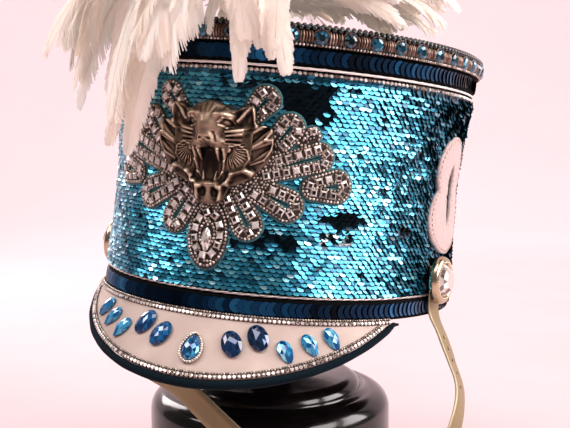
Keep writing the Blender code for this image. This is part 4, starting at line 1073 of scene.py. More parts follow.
def build_braid(finish):
    """The jewelled braid: round teal stones, browned wire wound between them, beads above and below."""
    piece = Piece("jewelled_rim_braid", "jewelled_braid", "rim_braid")
    profile = [(0, 0.6 * MM), (0.25, 1.5 * MM), (0.5, 1.8 * MM), (0.75, 1.5 * MM), (1, 0.6 * MM),
               (1, -CLOTH_WALL), (0, -CLOTH_WALL)]
    piece.add(sleeve(BRAID_Z, CROWN_HEIGHT, profile), finish["ribbon"])
    middle = BRAID_Z + 0.47 * BRAID_HEIGHT
    arcs = ((np.arange(BRAID_STONE_COUNT) + 0.5) / BRAID_STONE_COUNT - 0.5) * ROUND
    angle = angle_at(arcs)
    axes = wall_axes(angle, middle)
    origins = wall(angle, middle, 1.2 * MM)
    radius = BRAID_STONE / 2
    stone = stack_shape(((0.95, 0.0), (1.0, 0.30), (0.80, 0.58), (0.45, 0.76)), 12)
    tone = RANDOM.normal(0.38, 0.1, len(angle))
    piece.scatter(stone, origins, scaled(spin(axes, RANDOM.uniform(0, 6, len(angle)), 2), radius * 0.96),
                  finish["teal_glass"], tone, 0.38, smooth=False)
    turn = np.arange(20) * math.tau / 20
    ring = sweep(np.stack((np.cos(turn), np.sin(turn), np.full(20, 0.28)), 1),
                 np.stack((np.cos(turn), np.sin(turn), np.zeros(20)), 1),
                 np.tile((0, 0, 1.0), (20, 1)), np.full((20, 5), 0.10), True)
    piece.scatter(ring, origins, scaled(axes, radius * 1.02), finish["bronze_wire"], 0.4, 0.2)
    pitch = ROUND / BRAID_STONE_COUNT
    bow = np.linspace(-1, 1, 7)
    for shift in np.linspace(-0.19, 0.19, 5):
        between = arcs + (0.5 + shift) * pitch
        rib_angle = angle_at((between + ROUND / 2) % ROUND - ROUND / 2)
        axes = wall_axes(rib_angle, middle)
        line = np.stack((np.zeros(7), bow * 3.0 * MM, (0.5 + 1.5 * (1 - bow ** 2)) * MM), 1)
        rib = sweep(line, np.tile((1.0, 0, 0), (7, 1)), np.tile((0, 0, 1.0), (7, 1)),
                    np.full((7, 6), 0.46 * MM), False)
        piece.scatter(rib, wall(rib_angle, middle, 0.7 * MM), axes, finish["bronze_wire"],
                      RANDOM.uniform(0.3, 0.8, len(rib_angle)), 0.1)
    # Rows of beads: height, then distance out, radius and step in millimetres, kind and fineness
    for z, out, size, step, glass, detail in (
            (CROWN_HEIGHT - 0.5 * MM, 1.6, 1.3, 2.7, "black_bead", 2),
            (CROWN_HEIGHT + 0.4 * MM, 0.1, 1.2, 2.6, "black_bead", 2),
            (BRAID_Z + 0.55 * MM, 1.9, 0.72, 1.5, "seed_bead", 1),
            (BRAID_Z + 1.55 * MM, 2.3, 0.45, 1.15, "black_bead", 1)):
        around = even_angles(step * MM)
        piece.scatter(bead_shape(detail), wall(around, z, out * MM), scaled(wall_axes(around, z), size * MM),
                      finish[glass], RANDOM.uniform(0.2, 0.9, len(around)))
    piece.done()


def build_peak(finish):
    """The satin cover, velvet edge roll and the two chains of the peak."""
    inset, start = PEAK_BINDING + FIT, 1.5 * FIT
    limit = angle_of_edge(start + inset + 1 * MM)
    a, s = np.meshgrid(np.linspace(-limit, limit, 121), np.linspace(0, 1, 15))
    reach = start + s * (peak_edge(a) - inset - start)
    fold = 0.22 * MM * np.sin(a * 31 + 5 * np.sin(a * 7)) * np.exp(-((s - 0.94) / 0.10) ** 2)
    ripple = 0.14 * MM * np.sin(a * 13 + 9 * s) * np.sin(7 * s + a * 5)
    top = peak_point(a, reach, FIT + PEAK_COVER + fold + ripple * s * (1 - s) * 4)
    under = peak_point(a, reach, FIT)
    cover = Piece("satin_peak_cover", "beige_cloth", "visor_cover")
    rows, columns = a.shape
    loop = np.concatenate((top[::-1], under))
    end = np.arange(2 * rows)[None] * columns
    faces = [grid(2 * rows, columns, wrap_rows=True), end, end[:, ::-1] + columns - 1]
    cover.add((loop.reshape(-1, 3), faces), finish["satin"])
    cover.done()

    hug = PEAK_BINDING / 2 + 2 * FIT
    tucked = PEAK_SPAN - math.radians(2.6)
    run = np.linspace(-tucked, tucked, 181)
    centres = peak_point(run, np.maximum(peak_edge(run) - PEAK_BINDING / 2, hug), -0.3 * MM)
    down, square = peak_frame(run)
    ends = np.clip((tucked - np.abs(run)) / math.radians(5), 0.12, 1)[:, None] ** 0.5
    wobble = 1 + 0.03 * np.sin(run * 40)[:, None]
    turn = np.arange(14) * math.tau / 14
    radii = PEAK_BINDING / 2 * ends * wobble * (1.02 + 0.30 * np.abs(np.cos(turn)))
    roll = Piece("velvet_peak_edge", "velvet", "visor_binding")
    roll.add(sweep(centres, square, down, radii, False), finish["velvet"])
    roll.done()

    build_peak_chain("inner_peak_chain", "visor_inner_chain", finish,
                     angle_of_edge(INNER_CHAIN_REACH + inset),
                     lambda a: np.full_like(a, INNER_CHAIN_REACH))
    apart = INNER_CHAIN_REACH + (INNER_CHAIN + OUTER_CHAIN) / 2 + FIT
    build_peak_chain("outer_peak_chain", "visor_outer_chain", finish,
                     angle_of_edge(apart + inset + OUTER_CHAIN / 2),
                     lambda a: peak_edge(a) - inset - OUTER_CHAIN / 2)


def build_peak_chain(name, node, finish, limit, reach):
    """Stones in cups with a row of small beads on the crown's side of them, on a narrow strip."""
    piece = Piece(name, "silver_trim", node)
    run = np.linspace(-limit, limit, 241)
    lift = FIT + PEAK_COVER + 0.15 * MM
    line = peak_point(run, reach(run), lift)
    places, ahead, share = even_line(line, PEAK_CHAIN_PITCH)
    square = peak_frame(np.interp(share, np.linspace(0, 1, len(run)), run))[1]
    across = np.cross(square, ahead)
    axes = np.stack((ahead, across, np.cross(ahead, across)), 1)
    chain_rows(piece, finish, places, axes, PEAK_CHAIN_STONE)
    beads = peak_point(run, reach(run) - CHAIN_BEAD_SHIFT, lift + 0.35 * MM)
    places = even_line(beads, CHAIN_BEAD_PITCH)[0]
    axes = np.tile(np.eye(3), (len(places), 1, 1))
    piece.scatter(bead_shape(1), places, scaled(axes, CHAIN_BEAD), finish["seed_bead"],
                  RANDOM.uniform(0.15, 0.7, len(places)))
    down, square = peak_frame(run)
    # The strip under the stones is the cups' metal painted dark: painted shade in the gaps between them
    strip_radii = np.tile(np.array((1.5, 0.25, 1.5, 0.25)) * MM, (len(run), 1))
    centre = peak_point(run, reach(run) - 0.6 * MM, lift + 0.1 * MM)
    piece.add(sweep(centre, down, square, strip_radii, False), finish["cup"], 0.05)
    piece.done()


def peak_seat(angle, share, swing):
    """Origin and axes of a stone on the cover; its foot points down the slope, swung by an angle."""
    angle = np.array([angle])
    down, square = peak_frame(angle)
    origin = peak_point(angle, share * PEAK_REACH, FIT + PEAK_COVER + FIT)
    axes = np.stack((np.cross(-down, square), -down, square), 1)
    return origin, spin(axes, np.array([swing]), 2)


def build_peak_stones(finish):
    """Eleven foiled stones cut in a checkerboard; the middle one stands point up in a beaded bezel."""
    outlines = {"oval": oval_outline, "drop": drop_outline}
    # Tone and its spread over the facets, from the stones by the middle outwards. The ovals on the wearer's
    # left are painted darker than the same ovals on the right: painted shade; the spread paints the facets'
    # reflections
    shades = {"left": ((0.14, 0.12), (0.13, 0.12), (0.6, 0.36), (0.6, 0.36), (0.66, 0.3)),
              "right": ((0.40, 0.16), (0.36, 0.16), (0.6, 0.2), (0.56, 0.2), (0.55, 0.2))}
    for number, (shape, degrees, share, swing) in enumerate(PEAK_STONES, start=1):
        for side, name in ((1, "left"), (-1, "right")):
            width, length = STONE_SIZES[shape]
            piece = Piece(f"peak_gem_{name}_{number}", "blue_glass", f"peak_stone_{name}_{number}")
            cut = checker_stone(outlines[shape], width, length, STONE_RISE, CHECKER_CELL)
            origin, axes = peak_seat(PEAK_MIDDLE + side * math.radians(degrees), share,
                                     side * math.radians(swing))
            piece.scatter(cut, origin, axes, finish["blue_glass"], *shades[name][number - 1], smooth=False)
            piece.done()
    width, length = STONE_SIZES["middle"]
    origin, axes = peak_seat(PEAK_MIDDLE, MIDDLE_SHARE, math.pi)
    piece = Piece("peak_gem_middle", "blue_glass", "peak_stone_middle")
    cut = checker_stone(drop_outline, width, length, STONE_RISE, CHECKER_CELL)
    piece.scatter(cut, origin, axes, finish["blue_glass"], 0.5, 0.3, smooth=False)
    piece.done()
    piece = Piece("beaded_bezel", "silver_trim", "peak_stone_bezel")
    steps = 240
    turn = np.linspace(0, math.tau, steps)
    pinch = np.array([drop_outline(t) for t in turn])
    room = 0.95 * MM
    line = np.stack((np.cos(turn) * (width / 2 * pinch + room), np.sin(turn) * (length / 2 + room),
                     np.full(steps, 0.75 * MM)), 1)
    spots = origin + even_line(line, 1.15 * MM)[0] @ axes[0]
    piece.scatter(bead_shape(2), spots, scaled(np.tile(np.eye(3), (len(spots), 1, 1)), 0.62 * MM),
                  finish["seed_bead"], RANDOM.uniform(0.55, 1.0, len(spots)))
    base = line[:-1] * (0.99, 0.99, 0.5)
    collar = sweep(origin + base @ axes[0], unit(base) @ axes[0], np.tile(axes[0][2], (steps - 1, 1)),
                   np.full((steps - 1, 6), 0.55 * MM), True)
    piece.add(collar, finish["cup"], 0.4)
    piece.done()


def on_front(places, out):
    """Flat places on the front ornament, bent round the wall."""
    return wall(angle_at(places[..., 0]), APPLIQUE_CENTRE + places[..., 1], out)


def loop_outline(row, offset, count):
    """Points round a loop at a distance inside its outline, and the loop's middle line beside them."""
    foot, tip, foot_radius, tip_radius = row
    way = unit(tip - foot)
    square = np.array((-way[1], way[0]))
    # Up one side, round the tip, down the other side and round the foot
    step = np.linspace(0, 1, count // 4, endpoint=False)
    share = np.concatenate((step, np.ones_like(step), 1 - step, np.zeros_like(step)))[:, None]
    turn = math.pi * (np.concatenate((0 * step, step, 0 * step + 1, step + 1))[:, None] - 0.5)
    middles = foot + (tip - foot) * share
    radius = foot_radius + share * (tip_radius - foot_radius) - offset
    return middles + (way * np.cos(turn) + square * np.sin(turn)) * radius, middles


def oval(centre, half_width, half_height):
    """Points round a flat oval."""
    turn = np.linspace(0, math.tau, 96, endpoint=False)
    return centre + np.stack((np.cos(turn) * half_width, np.sin(turn) * half_height), 1)


def plate(piece, outline, middles, low, high, material, hollow=0.0):
    """A flat plate between an outline and its middle line, or a share of the way to it, with its edge."""
    rows = [on_front(outline, low)]
    hole = np.maximum(hollow, 0.03) + np.zeros((len(outline), 1))
    for step in np.linspace(0, 1, 4):
        rows.append(on_front(middles + (outline - middles) * (1 - step * (1 - hole)), high))
    rows.append(on_front(middles + (outline - middles) * hole, low))
    faces = grid(len(rows), len(outline), wrap_columns=True)[:, ::-1]
    piece.add((np.vstack(rows), [faces]), material, 0.5, 0.05)


def front_axes(places, turn):
    """Angles round the wall and axes of flat places on the ornament, each spun by its own turn."""
    angle = angle_at(places[:, 0])
    return angle, spin(wall_axes(angle, APPLIQUE_CENTRE + places[:, 1]), turn, 2)


# The ornament's loops from the uppermost down, as rows of LOOPS
LOOP_ORDER = (3, 4, 5, 6, 1, 0, 2)


def build_ornament(finish):
    """The jewelled front: teal felt, gunmetal loops, square stones along each and beads at the edges."""
    piece = Piece("rhinestone_ornament", "rhinestone_applique", "applique")
    rows = loop_rows()
    ranked = [rows[k + side * len(LOOPS)] for k in LOOP_ORDER for side in (0, 1)]
    foot_z = PATCH_SEAT - 0.3 * MM
    felt_top = PATCH_SEAT + BACKING
    net_top = felt_top + 0.45 * MM
    beads, stones, stone_turns = [], [], []
    for level, row in enumerate(ranked):
        outline, middles = loop_outline(row, -BACKING_RIM, 72)
        drop = 0.02 * MM * level
        plate(piece, outline, middles, foot_z, felt_top - drop, finish["teal_felt"])
        outline, middles = loop_outline(row, 0.0, 72)
        # The slit opens in the outer half of the loop
        way = row[1] - row[0]
        share = ((middles - row[0]) @ way / (way @ way))[:, None]
        plate(piece, outline, middles, felt_top - 0.3 * MM, net_top - drop, finish["gunmetal"],
              0.26 * np.clip((share - 0.25) / 0.3, 0, 1))
        # Stones between two rows of beads, each clear of the loops above, the loops below and the head
        for offset, pitch, square, above, below, head in (
                (0.75 * MM, SEED_PITCH, False, -0.2 * MM, 2.6 * MM, 0.2 * MM),
                (0.46 * row[3], SQUARE_PITCH, True, -1.5 * MM, 4.5 * MM, 1.2 * MM),
                (0.76 * row[3], SEED_PITCH, False, -0.2 * MM, 2.6 * MM, 0.2 * MM)):
            spots, turns = along_outline(loop_outline(row, offset, 240)[0], pitch)
            clear = head_cover(spots) > head
            for i, other in enumerate(ranked):
                if i != level:
                    clear &= inside_loop(spots, other) < (above if i < level else below)
            (stones if square else beads).append(spots[clear])
            if square:
                stone_turns.append(turns[clear])
    for across, up, half_width, half_height in np.array(PADS) * APPLIQUE_HALF_WIDTH:
        centre = np.array((across, up))
        outline = oval(centre, half_width + BACKING_RIM, half_height + BACKING_RIM)
        middles = np.tile(centre, (len(outline), 1))
        plate(piece, outline, middles, foot_z, felt_top - 0.4 * MM, finish["teal_felt"])
        plate(piece, oval(centre, half_width, half_height), middles, felt_top - 0.5 * MM,
              net_top - 0.4 * MM, finish["gunmetal"])
    # The lower pad has a ring of stones between two rings of beads
    for share, pitch, square, room in (
            (0.90, SEED_PITCH, False, 0.2 * MM), (0.62, 4.3 * MM, True, -1.0 * MM),
            (0.36, SEED_PITCH, False, 0.2 * MM)):
        spots, turns = along_outline(oval(centre, half_width * share, half_height * share), pitch)
        clear = head_cover(spots) > 1.0 * MM
        for row in ranked:
            clear &= inside_loop(spots, row) < room
        (stones if square else beads).append(spots[clear])
        if square:
            stone_turns.append(turns[clear])
    stones = np.vstack(stones)
    beads.append(filling_beads(ranked, np.vstack(beads), stones))
    beads = np.vstack(beads)
    angle, axes = front_axes(beads, np.zeros(len(beads)))
    origins = wall(angle, APPLIQUE_CENTRE + beads[:, 1], felt_top + 0.55 * MM)
    piece.scatter(bead_shape(1), origins, scaled(axes, 0.74 * MM), finish["seed_bead"],
                  RANDOM.uniform(0.2, 0.95, len(beads)))
    scatter_square_stones(piece, finish, stones, np.concatenate(stone_turns), felt_top + 0.2 * MM)
    piece.done()


def filling_beads(rows, beads, stones):
    """Seed beads that fill the loops wherever no stone, bead or slit is."""
    pitch = 1.5 * MM
    reach = int(APPLIQUE_HALF_WIDTH / pitch)
    i, j = np.meshgrid(np.arange(-reach, reach), np.arange(-reach, reach), indexing="ij")
    spots = np.stack(((i + 0.5 * (j % 2)).ravel() * pitch, j.ravel() * pitch * 0.87), 1)
    depths = np.array([inside_loop(spots, row) / row[3] for row in rows])
    in_loops = (depths.max(0) > 0.12) & (depths.max(0) < 0.74)
    in_pads = np.max([inside_pad(spots, pad) for pad in PADS], axis=0) > 1 * MM
    drop = np.hypot(spots[:, 0] / DROP_STONE_WIDTH,
                    (spots[:, 1] - DROP_STONE_UP * APPLIQUE_HALF_WIDTH) / DROP_STONE_LENGTH)
    spots = spots[(in_loops | in_pads) & (head_cover(spots) > -1 * MM) & (drop > 0.62)]
    for others, room in ((beads, 1.25 * MM), (stones, 2.4 * MM)):
        gaps = np.linalg.norm(spots[:, None] - others[None], axis=2).min(1)
        spots = spots[gaps > room]
    return spots


def scatter_square_stones(piece, finish, spots, turns, out):
    """Square foiled stones in four-clawed cups; the further towards the wearer's left, the more of them get a
    painted dark reflection in their table.
    """
    angle, axes = front_axes(spots, turns)
    origins = wall(angle, APPLIQUE_CENTRE + spots[:, 1], out)
    sizes = scaled(axes, SQUARE_HALF)
    root = math.sqrt(2)
    cup = stack_shape(((0.98 * root, 0.0), (root, 0.42), (0.86 * root, 0.55)), 4, 0.5)
    points, (sides, table) = stack_shape(
        ((0.86 * root, 0.50), (0.88 * root, 0.60), (0.50 * root, 1.0)), 4, 0.5)
    piece.scatter(cup, origins, sizes, finish["cup"], 0.45, 0.25, smooth=False)
    # Painted reflection: the chance of a dark table grows towards the wearer's left
    away = np.clip(spots[:, 0] / (24 * MM), -1, 1) * 0.5 + 0.5
    bright = np.where(RANDOM.random(len(spots)) < 0.9 * away, 0.04, 0.78)
    piece.scatter((points, [sides]), origins, sizes, finish["crystal"], 0.66, 0.34, smooth=False)
    piece.scatter((points, [table]), origins, sizes, finish["crystal"], bright, 0.06, smooth=False)
    claw = bead_shape(1)
    for x, y in ((1, 1), (1, -1), (-1, 1), (-1, -1)):
        corner = origins + (0.92 * (axes[:, 0] * x + axes[:, 1] * y) + 0.55 * axes[:, 2]) * SQUARE_HALF
        piece.scatter(claw, corner, scaled(axes, 0.34 * MM), finish["cup"], 0.7, 0.1)


def head_cover(spots):
    """How far flat places lie outside the cast head's outline."""
    x, y = spots[:, 0], spots[:, 1] + APPLIQUE_CENTRE - HEAD_CENTRE
    return np.hypot(x, y) - head_radius(np.arctan2(x, y))


def build_drop_stone(finish):
    """The long pointed stone at the ornament's foot."""
    spot = np.array(((0.0, DROP_STONE_UP * APPLIQUE_HALF_WIDTH),))
    angle, axes = front_axes(spot, np.zeros(1))
    out = PATCH_SEAT + BACKING + FIT
    origin = wall(angle, APPLIQUE_CENTRE + spot[:, 1], out)
    piece = Piece("pointed_drop_stone", "crystal", "applique_drop_stone")
    cut = checker_stone(marquise_outline, DROP_STONE_WIDTH, DROP_STONE_LENGTH, STONE_RISE, 1.7 * MM)
    piece.scatter(cut, origin, axes, finish["crystal"], 0.62, 0.38, smooth=False)
    piece.done()


# The cast head. Swells: across, up, half width, half height, rise; millimetres, mirrored
HEAD_SWELLS = (
    (0.0, 13.5, 9.5, 7.5, 6.4),
    (0.0, 7.0, 4.6, 8.0, 4.6),
    (0.0, 5.2, 3.4, 3.0, 2.8),
    (4.6, 3.0, 3.6, 3.4, 3.6),
    (7.2, 15.3, 3.6, 2.0, 1.5),
    (7.4, 11.8, 2.4, 1.7, -3.6),
    (7.3, 11.9, 1.7, 1.35, 3.2),
    (10.5, 8.2, 3.8, 2.4, 2.6),
    (10.5, -0.5, 5.0, 6.0, 3.2),
    (15.8, 17.5, 3.0, 4.6, 2.4),
    (15.6, 15.8, 1.7, 3.4, -2.6),
    (21.5, 6.5, 5.0, 9.0, 1.8),
    (0.0, -5.5, 3.7, 6.2, -5.4),
    (0.0, -8.5, 2.0, 4.2, 2.2),
    (0.0, -14.6, 3.9, 1.8, 2.6),
    (0.0, -19.0, 5.6, 3.6, 1.6),
    (2.7, -18.2, 1.35, 1.8, -3.2),
    (1.6, 5.0, 0.8, 0.6, -1.3),
)
# Ridges and, with a negative rise, grooves: one end across and up, the other end, half width, rise
HEAD_RIDGES = (
    (3.6, 15.4, 6.6, 15.8, 1.2, 0.8),
    (6.6, 15.8, 10.0, 14.0, 1.1, 0.8),
    (4.6, 12.2, 6.2, 13.9, 0.5, 0.7),
    (6.2, 13.9, 8.8, 13.6, 0.5, 0.7),
    (8.8, 13.6, 10.2, 11.8, 0.5, 0.6),
    (4.8, 10.8, 7.4, 9.8, 0.5, 0.7),
    (7.4, 9.8, 9.8, 10.6, 0.5, 0.6),
    (1.1, 20.0, 0.9, 16.5, 0.40, -0.22),
    (3.2, 18.2, 2.2, 15.8, 0.40, -0.22),
    (3.0, 7.6, 3.7, 4.2, 0.5, -0.8),
    (0.0, 4.0, 0.0, 0.6, 0.4, -1.0),
    (0.2, 0.8, 5.6, -0.4, 0.6, -0.9),
    (7.0, 8.2, 13.0, 9.6, 0.45, 0.7),
    (7.4, 6.5, 13.2, 7.4, 0.40, 0.55),
    (7.4, 4.9, 13.0, 5.2, 0.36, 0.5),
    (7.0, 3.3, 12.0, 3.1, 0.34, 0.4),
    (7.0, 7.3, 13.0, 8.5, 0.26, -0.7),
    (7.2, 5.7, 13.2, 6.3, 0.26, -0.7),
    (7.2, 4.1, 12.6, 4.1, 0.26, -0.6),
    (11.3, 13.0, 16.8, 20.2, 0.7, 1.3),
    (17.2, 20.0, 18.6, 11.2, 0.6, 1.2),
    (9.6, 16.6, 15.4, 20.0, 0.7, 1.0),
    (4.0, 0.2, 3.6, -4.4, 0.85, 3.8),
    (3.0, -8.8, 2.5, -12.2, 0.65, 2.8),
    (6.3, 0.4, 6.4, -4.6, 0.8, 1.2),
    (6.4, -4.6, 5.4, -9.6, 0.8, 1.2),
    (5.4, -9.6, 3.0, -12.8, 0.8, 1.1),
    (8.6, 2.2, 12.4, 3.0, 0.4, 0.6),
    (12.4, 3.0, 15.6, 0.8, 0.4, 0.6),
    (15.6, 0.8, 16.6, -2.4, 0.4, 0.6),
    (16.6, -2.4, 14.6, -5.8, 0.4, 0.5),
    (17.8, 8.8, 21.6, 12.0, 0.45, 1.1),
    (21.6, 12.0, 24.8, 13.8, 0.45, 1.2),
    (24.8, 13.8, 24.9, 10.0, 0.45, 1.1),
    (24.9, 10.0, 22.4, 6.0, 0.45, 1.0),
    (22.4, 6.0, 17.8, 2.8, 0.45, 0.9),
    (22.4, 6.0, 25.8, 6.6, 0.42, 0.9),
    (25.8, 6.6, 25.6, 2.4, 0.42, 0.9),
    (25.6, 2.4, 22.6, -2.4, 0.42, 0.9),
    (22.6, -2.4, 17.2, -5.0, 0.42, 0.8),
    (7.6, -13.6, 9.8, -9.6, 1.2, 2.6),
    (9.8, -9.6, 15.6, -7.6, 1.2, 2.6),
    (15.6, -7.6, 17.8, -8.8, 1.5, 2.8),
    (4.0, -16.0, 7.4, -13.8, 1.1, 1.8),
    (5.6, -16.0, 5.0, -21.0, 0.9, 1.6),
)


def engraved_lines():
    """Grooves that fan over the cheek ruffs and lie across the two leaves of each wing."""
    lines = []
    for step in np.linspace(0, 1, 12):
        turn = math.radians(34 - 130 * step)
        reach = 7.4 - 2.0 * abs(step - 0.4)
        lines.append((8.0 + 1.4 * math.cos(turn), 0.6 + 1.4 * math.sin(turn),
                      8.4 + reach * math.cos(turn - 0.12), 0.4 + reach * math.sin(turn - 0.12), 0.27, -0.9))
    # Feather lines of the wings run along the leaves, from the cheek towards the tips
    for foot, tip, rise in (((17.6, 4.0), (23.6, 11.6), 4.6), ((17.4, -3.6), (24.4, 3.6), 5.0)):
        for step in np.linspace(0.08, 0.92, 7):
            end = (tip[0] + 1.0 * step, tip[1] + (step - 0.5) * 2.6)
            lines.append((foot[0], foot[1] + rise * step, *end, 0.26, -0.8))
    # Fur over the brow and down the jaw
    for across, up, turn in (
            (6.0, 18.4, 60), (8.2, 18.0, 40), (5.0, 20.0, 75), (9.5, 3.0, -20), (10.8, 1.2, -35),
            (8.2, -5.0, -70), (9.8, -4.6, -55), (7.2, -11.0, -80), (13.8, 9.0, 20)):
        way = math.radians(turn)
        lines.append((across, up, across + 3 * math.cos(way), up + 3 * math.sin(way), 0.3, -0.5))
    return lines


def head_relief(x, y):
    """Height of the casting over its back plate, in millimetres, before its edge falls away."""
    across = np.abs(x)
    rise = np.zeros_like(x)
    for cx, cy, half_width, half_height, lift in HEAD_SWELLS:
        near = ((across - cx) / half_width) ** 2 + ((y - cy) / half_height) ** 2
        # Swells on the middle line have flatter tops
        rise += lift * np.exp(-near if cx else -near ** 1.25)
    for x1, y1, x2, y2, half_width, lift in (*HEAD_RIDGES, *engraved_lines()):
        way = np.array((x2 - x1, y2 - y1))
        share = np.clip(((across - x1) * way[0] + (y - y1) * way[1]) / (way @ way), 0, 1)
        gap = np.hypot(across - x1 - share * way[0], y - y1 - share * way[1])
        rise += lift * np.exp(-(gap / half_width) ** 2) * (1 - 0.35 * share ** 3)
    return rise


def build_head(finish):
    """A cast roaring big cat between two wings, as a fine relief on rays and rings."""
    rays, rings = 400, 150
    turn = np.linspace(-math.pi, math.pi, rays, endpoint=False)
    share = np.linspace(0.004, 1, rings) ** 0.85
    radius = head_radius(turn)
    kernel = np.hanning(9) / np.hanning(9).sum()
    radius = np.convolve(np.concatenate((radius[-4:], radius, radius[:4])), kernel, mode="valid")
    x = share[:, None] * radius * np.sin(turn)
    y = share[:, None] * radius * np.cos(turn)
    rise = head_relief(x / MM, y / MM)
    edge = np.clip((1 - share[:, None]) * radius / (1.3 * MM), 0, 1)
    rise = np.maximum(rise, 0.3) * MM * (1 - (1 - edge) ** 2)
    base = PATCH_SEAT + BACKING + RIBBON_RISE + FIT
    lift = base + HEAD_EDGE * 0.55 + rise
    soft = rise.copy()
    for _ in range(14):
        soft = (soft + np.roll(soft, 1, 1) + np.roll(soft, -1, 1)) / 3
        padded = np.vstack((soft[:1], soft, soft[-1:]))
        soft = (padded[:-2] + padded[1:-1] + padded[2:]) / 3
    mouth = np.exp(-((x / (3.6 * MM)) ** 2 + ((y + 5 * MM) / (6.4 * MM)) ** 2) ** 2)
    tongue = np.exp(-(x / (1.9 * MM)) ** 2 - ((y + 8 * MM) / (3.6 * MM)) ** 2)
    tone = 0.52 + (rise - soft) / MM * 1.15 + 0.014 * (rise / MM - 4) - 0.42 * mouth + 0.28 * tongue
    tone = np.clip(tone, 0, 1)
    heights = HEAD_CENTRE + y
    front = wall(angle_at(x), heights, lift)
    rim = wall(angle_at(x[-1]), heights[-1], base)
    back = wall(angle_at(x[-1] * 0.05), HEAD_CENTRE + y[-1] * 0.05, base)
    points = np.concatenate((front.reshape(-1, 3), rim, back))
    faces = grid(rings + 2, rays, wrap_columns=True)[:, ::-1]
    tones = np.concatenate((tone[:-1].ravel(), np.full(2 * rays, 0.2)))
    piece = Piece("bronze_cat_head", "antique_bronze", "cat_head")
    piece.add((points, [faces]), finish["bronze"], tones)
    piece.add((front[0], [np.arange(rays)[None]]), finish["bronze"], 0.6)
    piece.done()


def build_patches(finish):
    """Two-lobed felt shapes with a slot, stitched down near their edges."""
    for side, name in ((1, "left"), (-1, "right")):
        turn = np.linspace(-math.pi, math.pi, 200, endpoint=False)
        outer, slot = patch_radii(turn)
        outer = outer + 0.25 * MM * np.sin(23 * turn + side) * np.sin(7 * turn)
        way = np.stack((np.sin(turn), np.cos(turn)), -1)
        arc = arc_at(side * PATCH_ANGLE)

        def ring(share, out):
            radius = slot + (outer - slot) * share
            return wall(angle_at(arc + way[:, 0] * radius), PATCH_CENTRE + way[:, 1] * radius, out)

        middle, top = PATCH_SEAT + PATCH_WALL / 2, PATCH_SEAT + PATCH_WALL
        rows = [ring(1.0, PATCH_SEAT), ring(1.0, middle)]
        for share in (0.985, 0.95, 0.88, 0.8, 0.6, 0.4, 0.2, 0.08, 0.02):
            dip = 0.35 * MM * math.exp(-((share - 0.90) / 0.05) ** 2)
            round_off = 0.6 * MM * (share > 0.98) + 0.3 * MM * (share < 0.05)
            rows.append(ring(share, top - dip - round_off + 0.12 * MM * np.sin(5 * turn + 9 * share)))
        rows += [ring(0.0, middle), ring(0.0, PATCH_SEAT)]
        faces = grid(len(rows), len(turn), wrap_rows=True, wrap_columns=True)[:, ::-1]
        piece = Piece(f"felt_patch_{name}", "felt", f"side_patch_{name}")
        piece.add((np.vstack(rows), [faces]), finish["felt"])
        for share in (0.90, 0.13):
            flat = way * (slot + (outer - slot) * share)[:, None]
            spots, turns = along_outline(flat, STITCH_PITCH)
            angle = angle_at(arc + spots[:, 0])
            axes = spin(wall_axes(angle, PATCH_CENTRE + spots[:, 1]), turns, 2)
            axes = axes * np.array((0.95, 0.28, 0.28))[None, :, None] * MM
            origins = wall(angle, PATCH_CENTRE + spots[:, 1], top - 0.12 * MM)
            piece.scatter(bead_shape(1), origins, axes, finish["thread"], 0.6, 0.3)
        piece.done()


def build_buttons(finish):
    """A stamped brass rim with a milled edge round one big cut crystal, on each side."""
    radius = BUTTON_WIDTH / 2
    well = CRYSTAL_WIDTH / 2 + FIT
    floor = 0.45 * BUTTON_RISE
    lip = well + 1.2 * MM
    profile = [(radius - 0.8 * MM, 0.0), (radius, 0.5 * MM), (radius, floor)]
    for t in np.linspace(0, math.pi / 2, 7)[1:]:
        profile.append((lip + (radius - lip) * math.cos(t), floor + (BUTTON_RISE - floor) * math.sin(t)))
    profile += [(well + 0.5 * MM, 0.97 * BUTTON_RISE), (well, 0.85 * BUTTON_RISE), (well, floor)]
    for side, name in ((1, "left"), (-1, "right")):
        angle = np.array([side * BUTTON_ANGLE])
        axes = wall_axes(angle, BUTTON_HEIGHT)
        seat = STRAP_SEAT + STRAP_WALL + 2 * FIT
        origin = wall(angle, BUTTON_HEIGHT) + axes[:, 2] * seat
        piece = Piece(f"brass_button_{name}", "gilt_metal", f"button_{name}")
        piece.scatter(turned_shape(profile, 64), origin, axes, finish["gilt"], 0.6, 0.0)
        # The milled edge round the crystal
        ring = np.linspace(0, math.tau, 44, endpoint=False)
        beads = np.full(len(ring), 0.96 * BUTTON_RISE)
        spots = np.stack((*(np.array((np.cos(ring), np.sin(ring))) * (well + 0.75 * MM)), beads), 1)
        piece.scatter(bead_shape(1), origin + spots @ axes[0],
                      scaled(np.tile(axes, (len(ring), 1, 1)), 0.5 * MM), finish["gilt"], 0.8, 0.1)
        piece.done()
        half = CRYSTAL_WIDTH / 2
        piece = Piece(f"button_gem_{name}", "crystal", f"button_crystal_{name}")
        piece.scatter(brilliant_shape(16, CRYSTAL_RISE / half), origin + axes[:, 2] * (floor + FIT),
                      scaled(axes, half), finish["crystal"], 0.62, 0.38, smooth=False)
        piece.done()


def brilliant_shape(sides, rise):
    """A round stone with two rows of triangular facets round its table; radius 1."""
    stone = bmesh.new()
    points = []
    for radius, height, phase in ((0.94, 0.0, 0.0), (1.0, 0.30 * rise, 0.0), (0.80, 0.70 * rise, 0.5),
                                  (0.55, rise, 0.0)):
        count = sides if radius > 0.6 else sides // 2
        for i in range(count):
            turn = (i + phase) / count * math.tau
            points.append((radius * math.cos(turn), radius * math.sin(turn), height))
    bmesh.ops.convex_hull(stone, input=[stone.verts.new(point) for point in points])
    bmesh.ops.dissolve_limit(stone, angle_limit=math.radians(1), verts=stone.verts, edges=stone.edges)
    bmesh.ops.recalc_face_normals(stone, faces=stone.faces)
    return from_bmesh(stone)


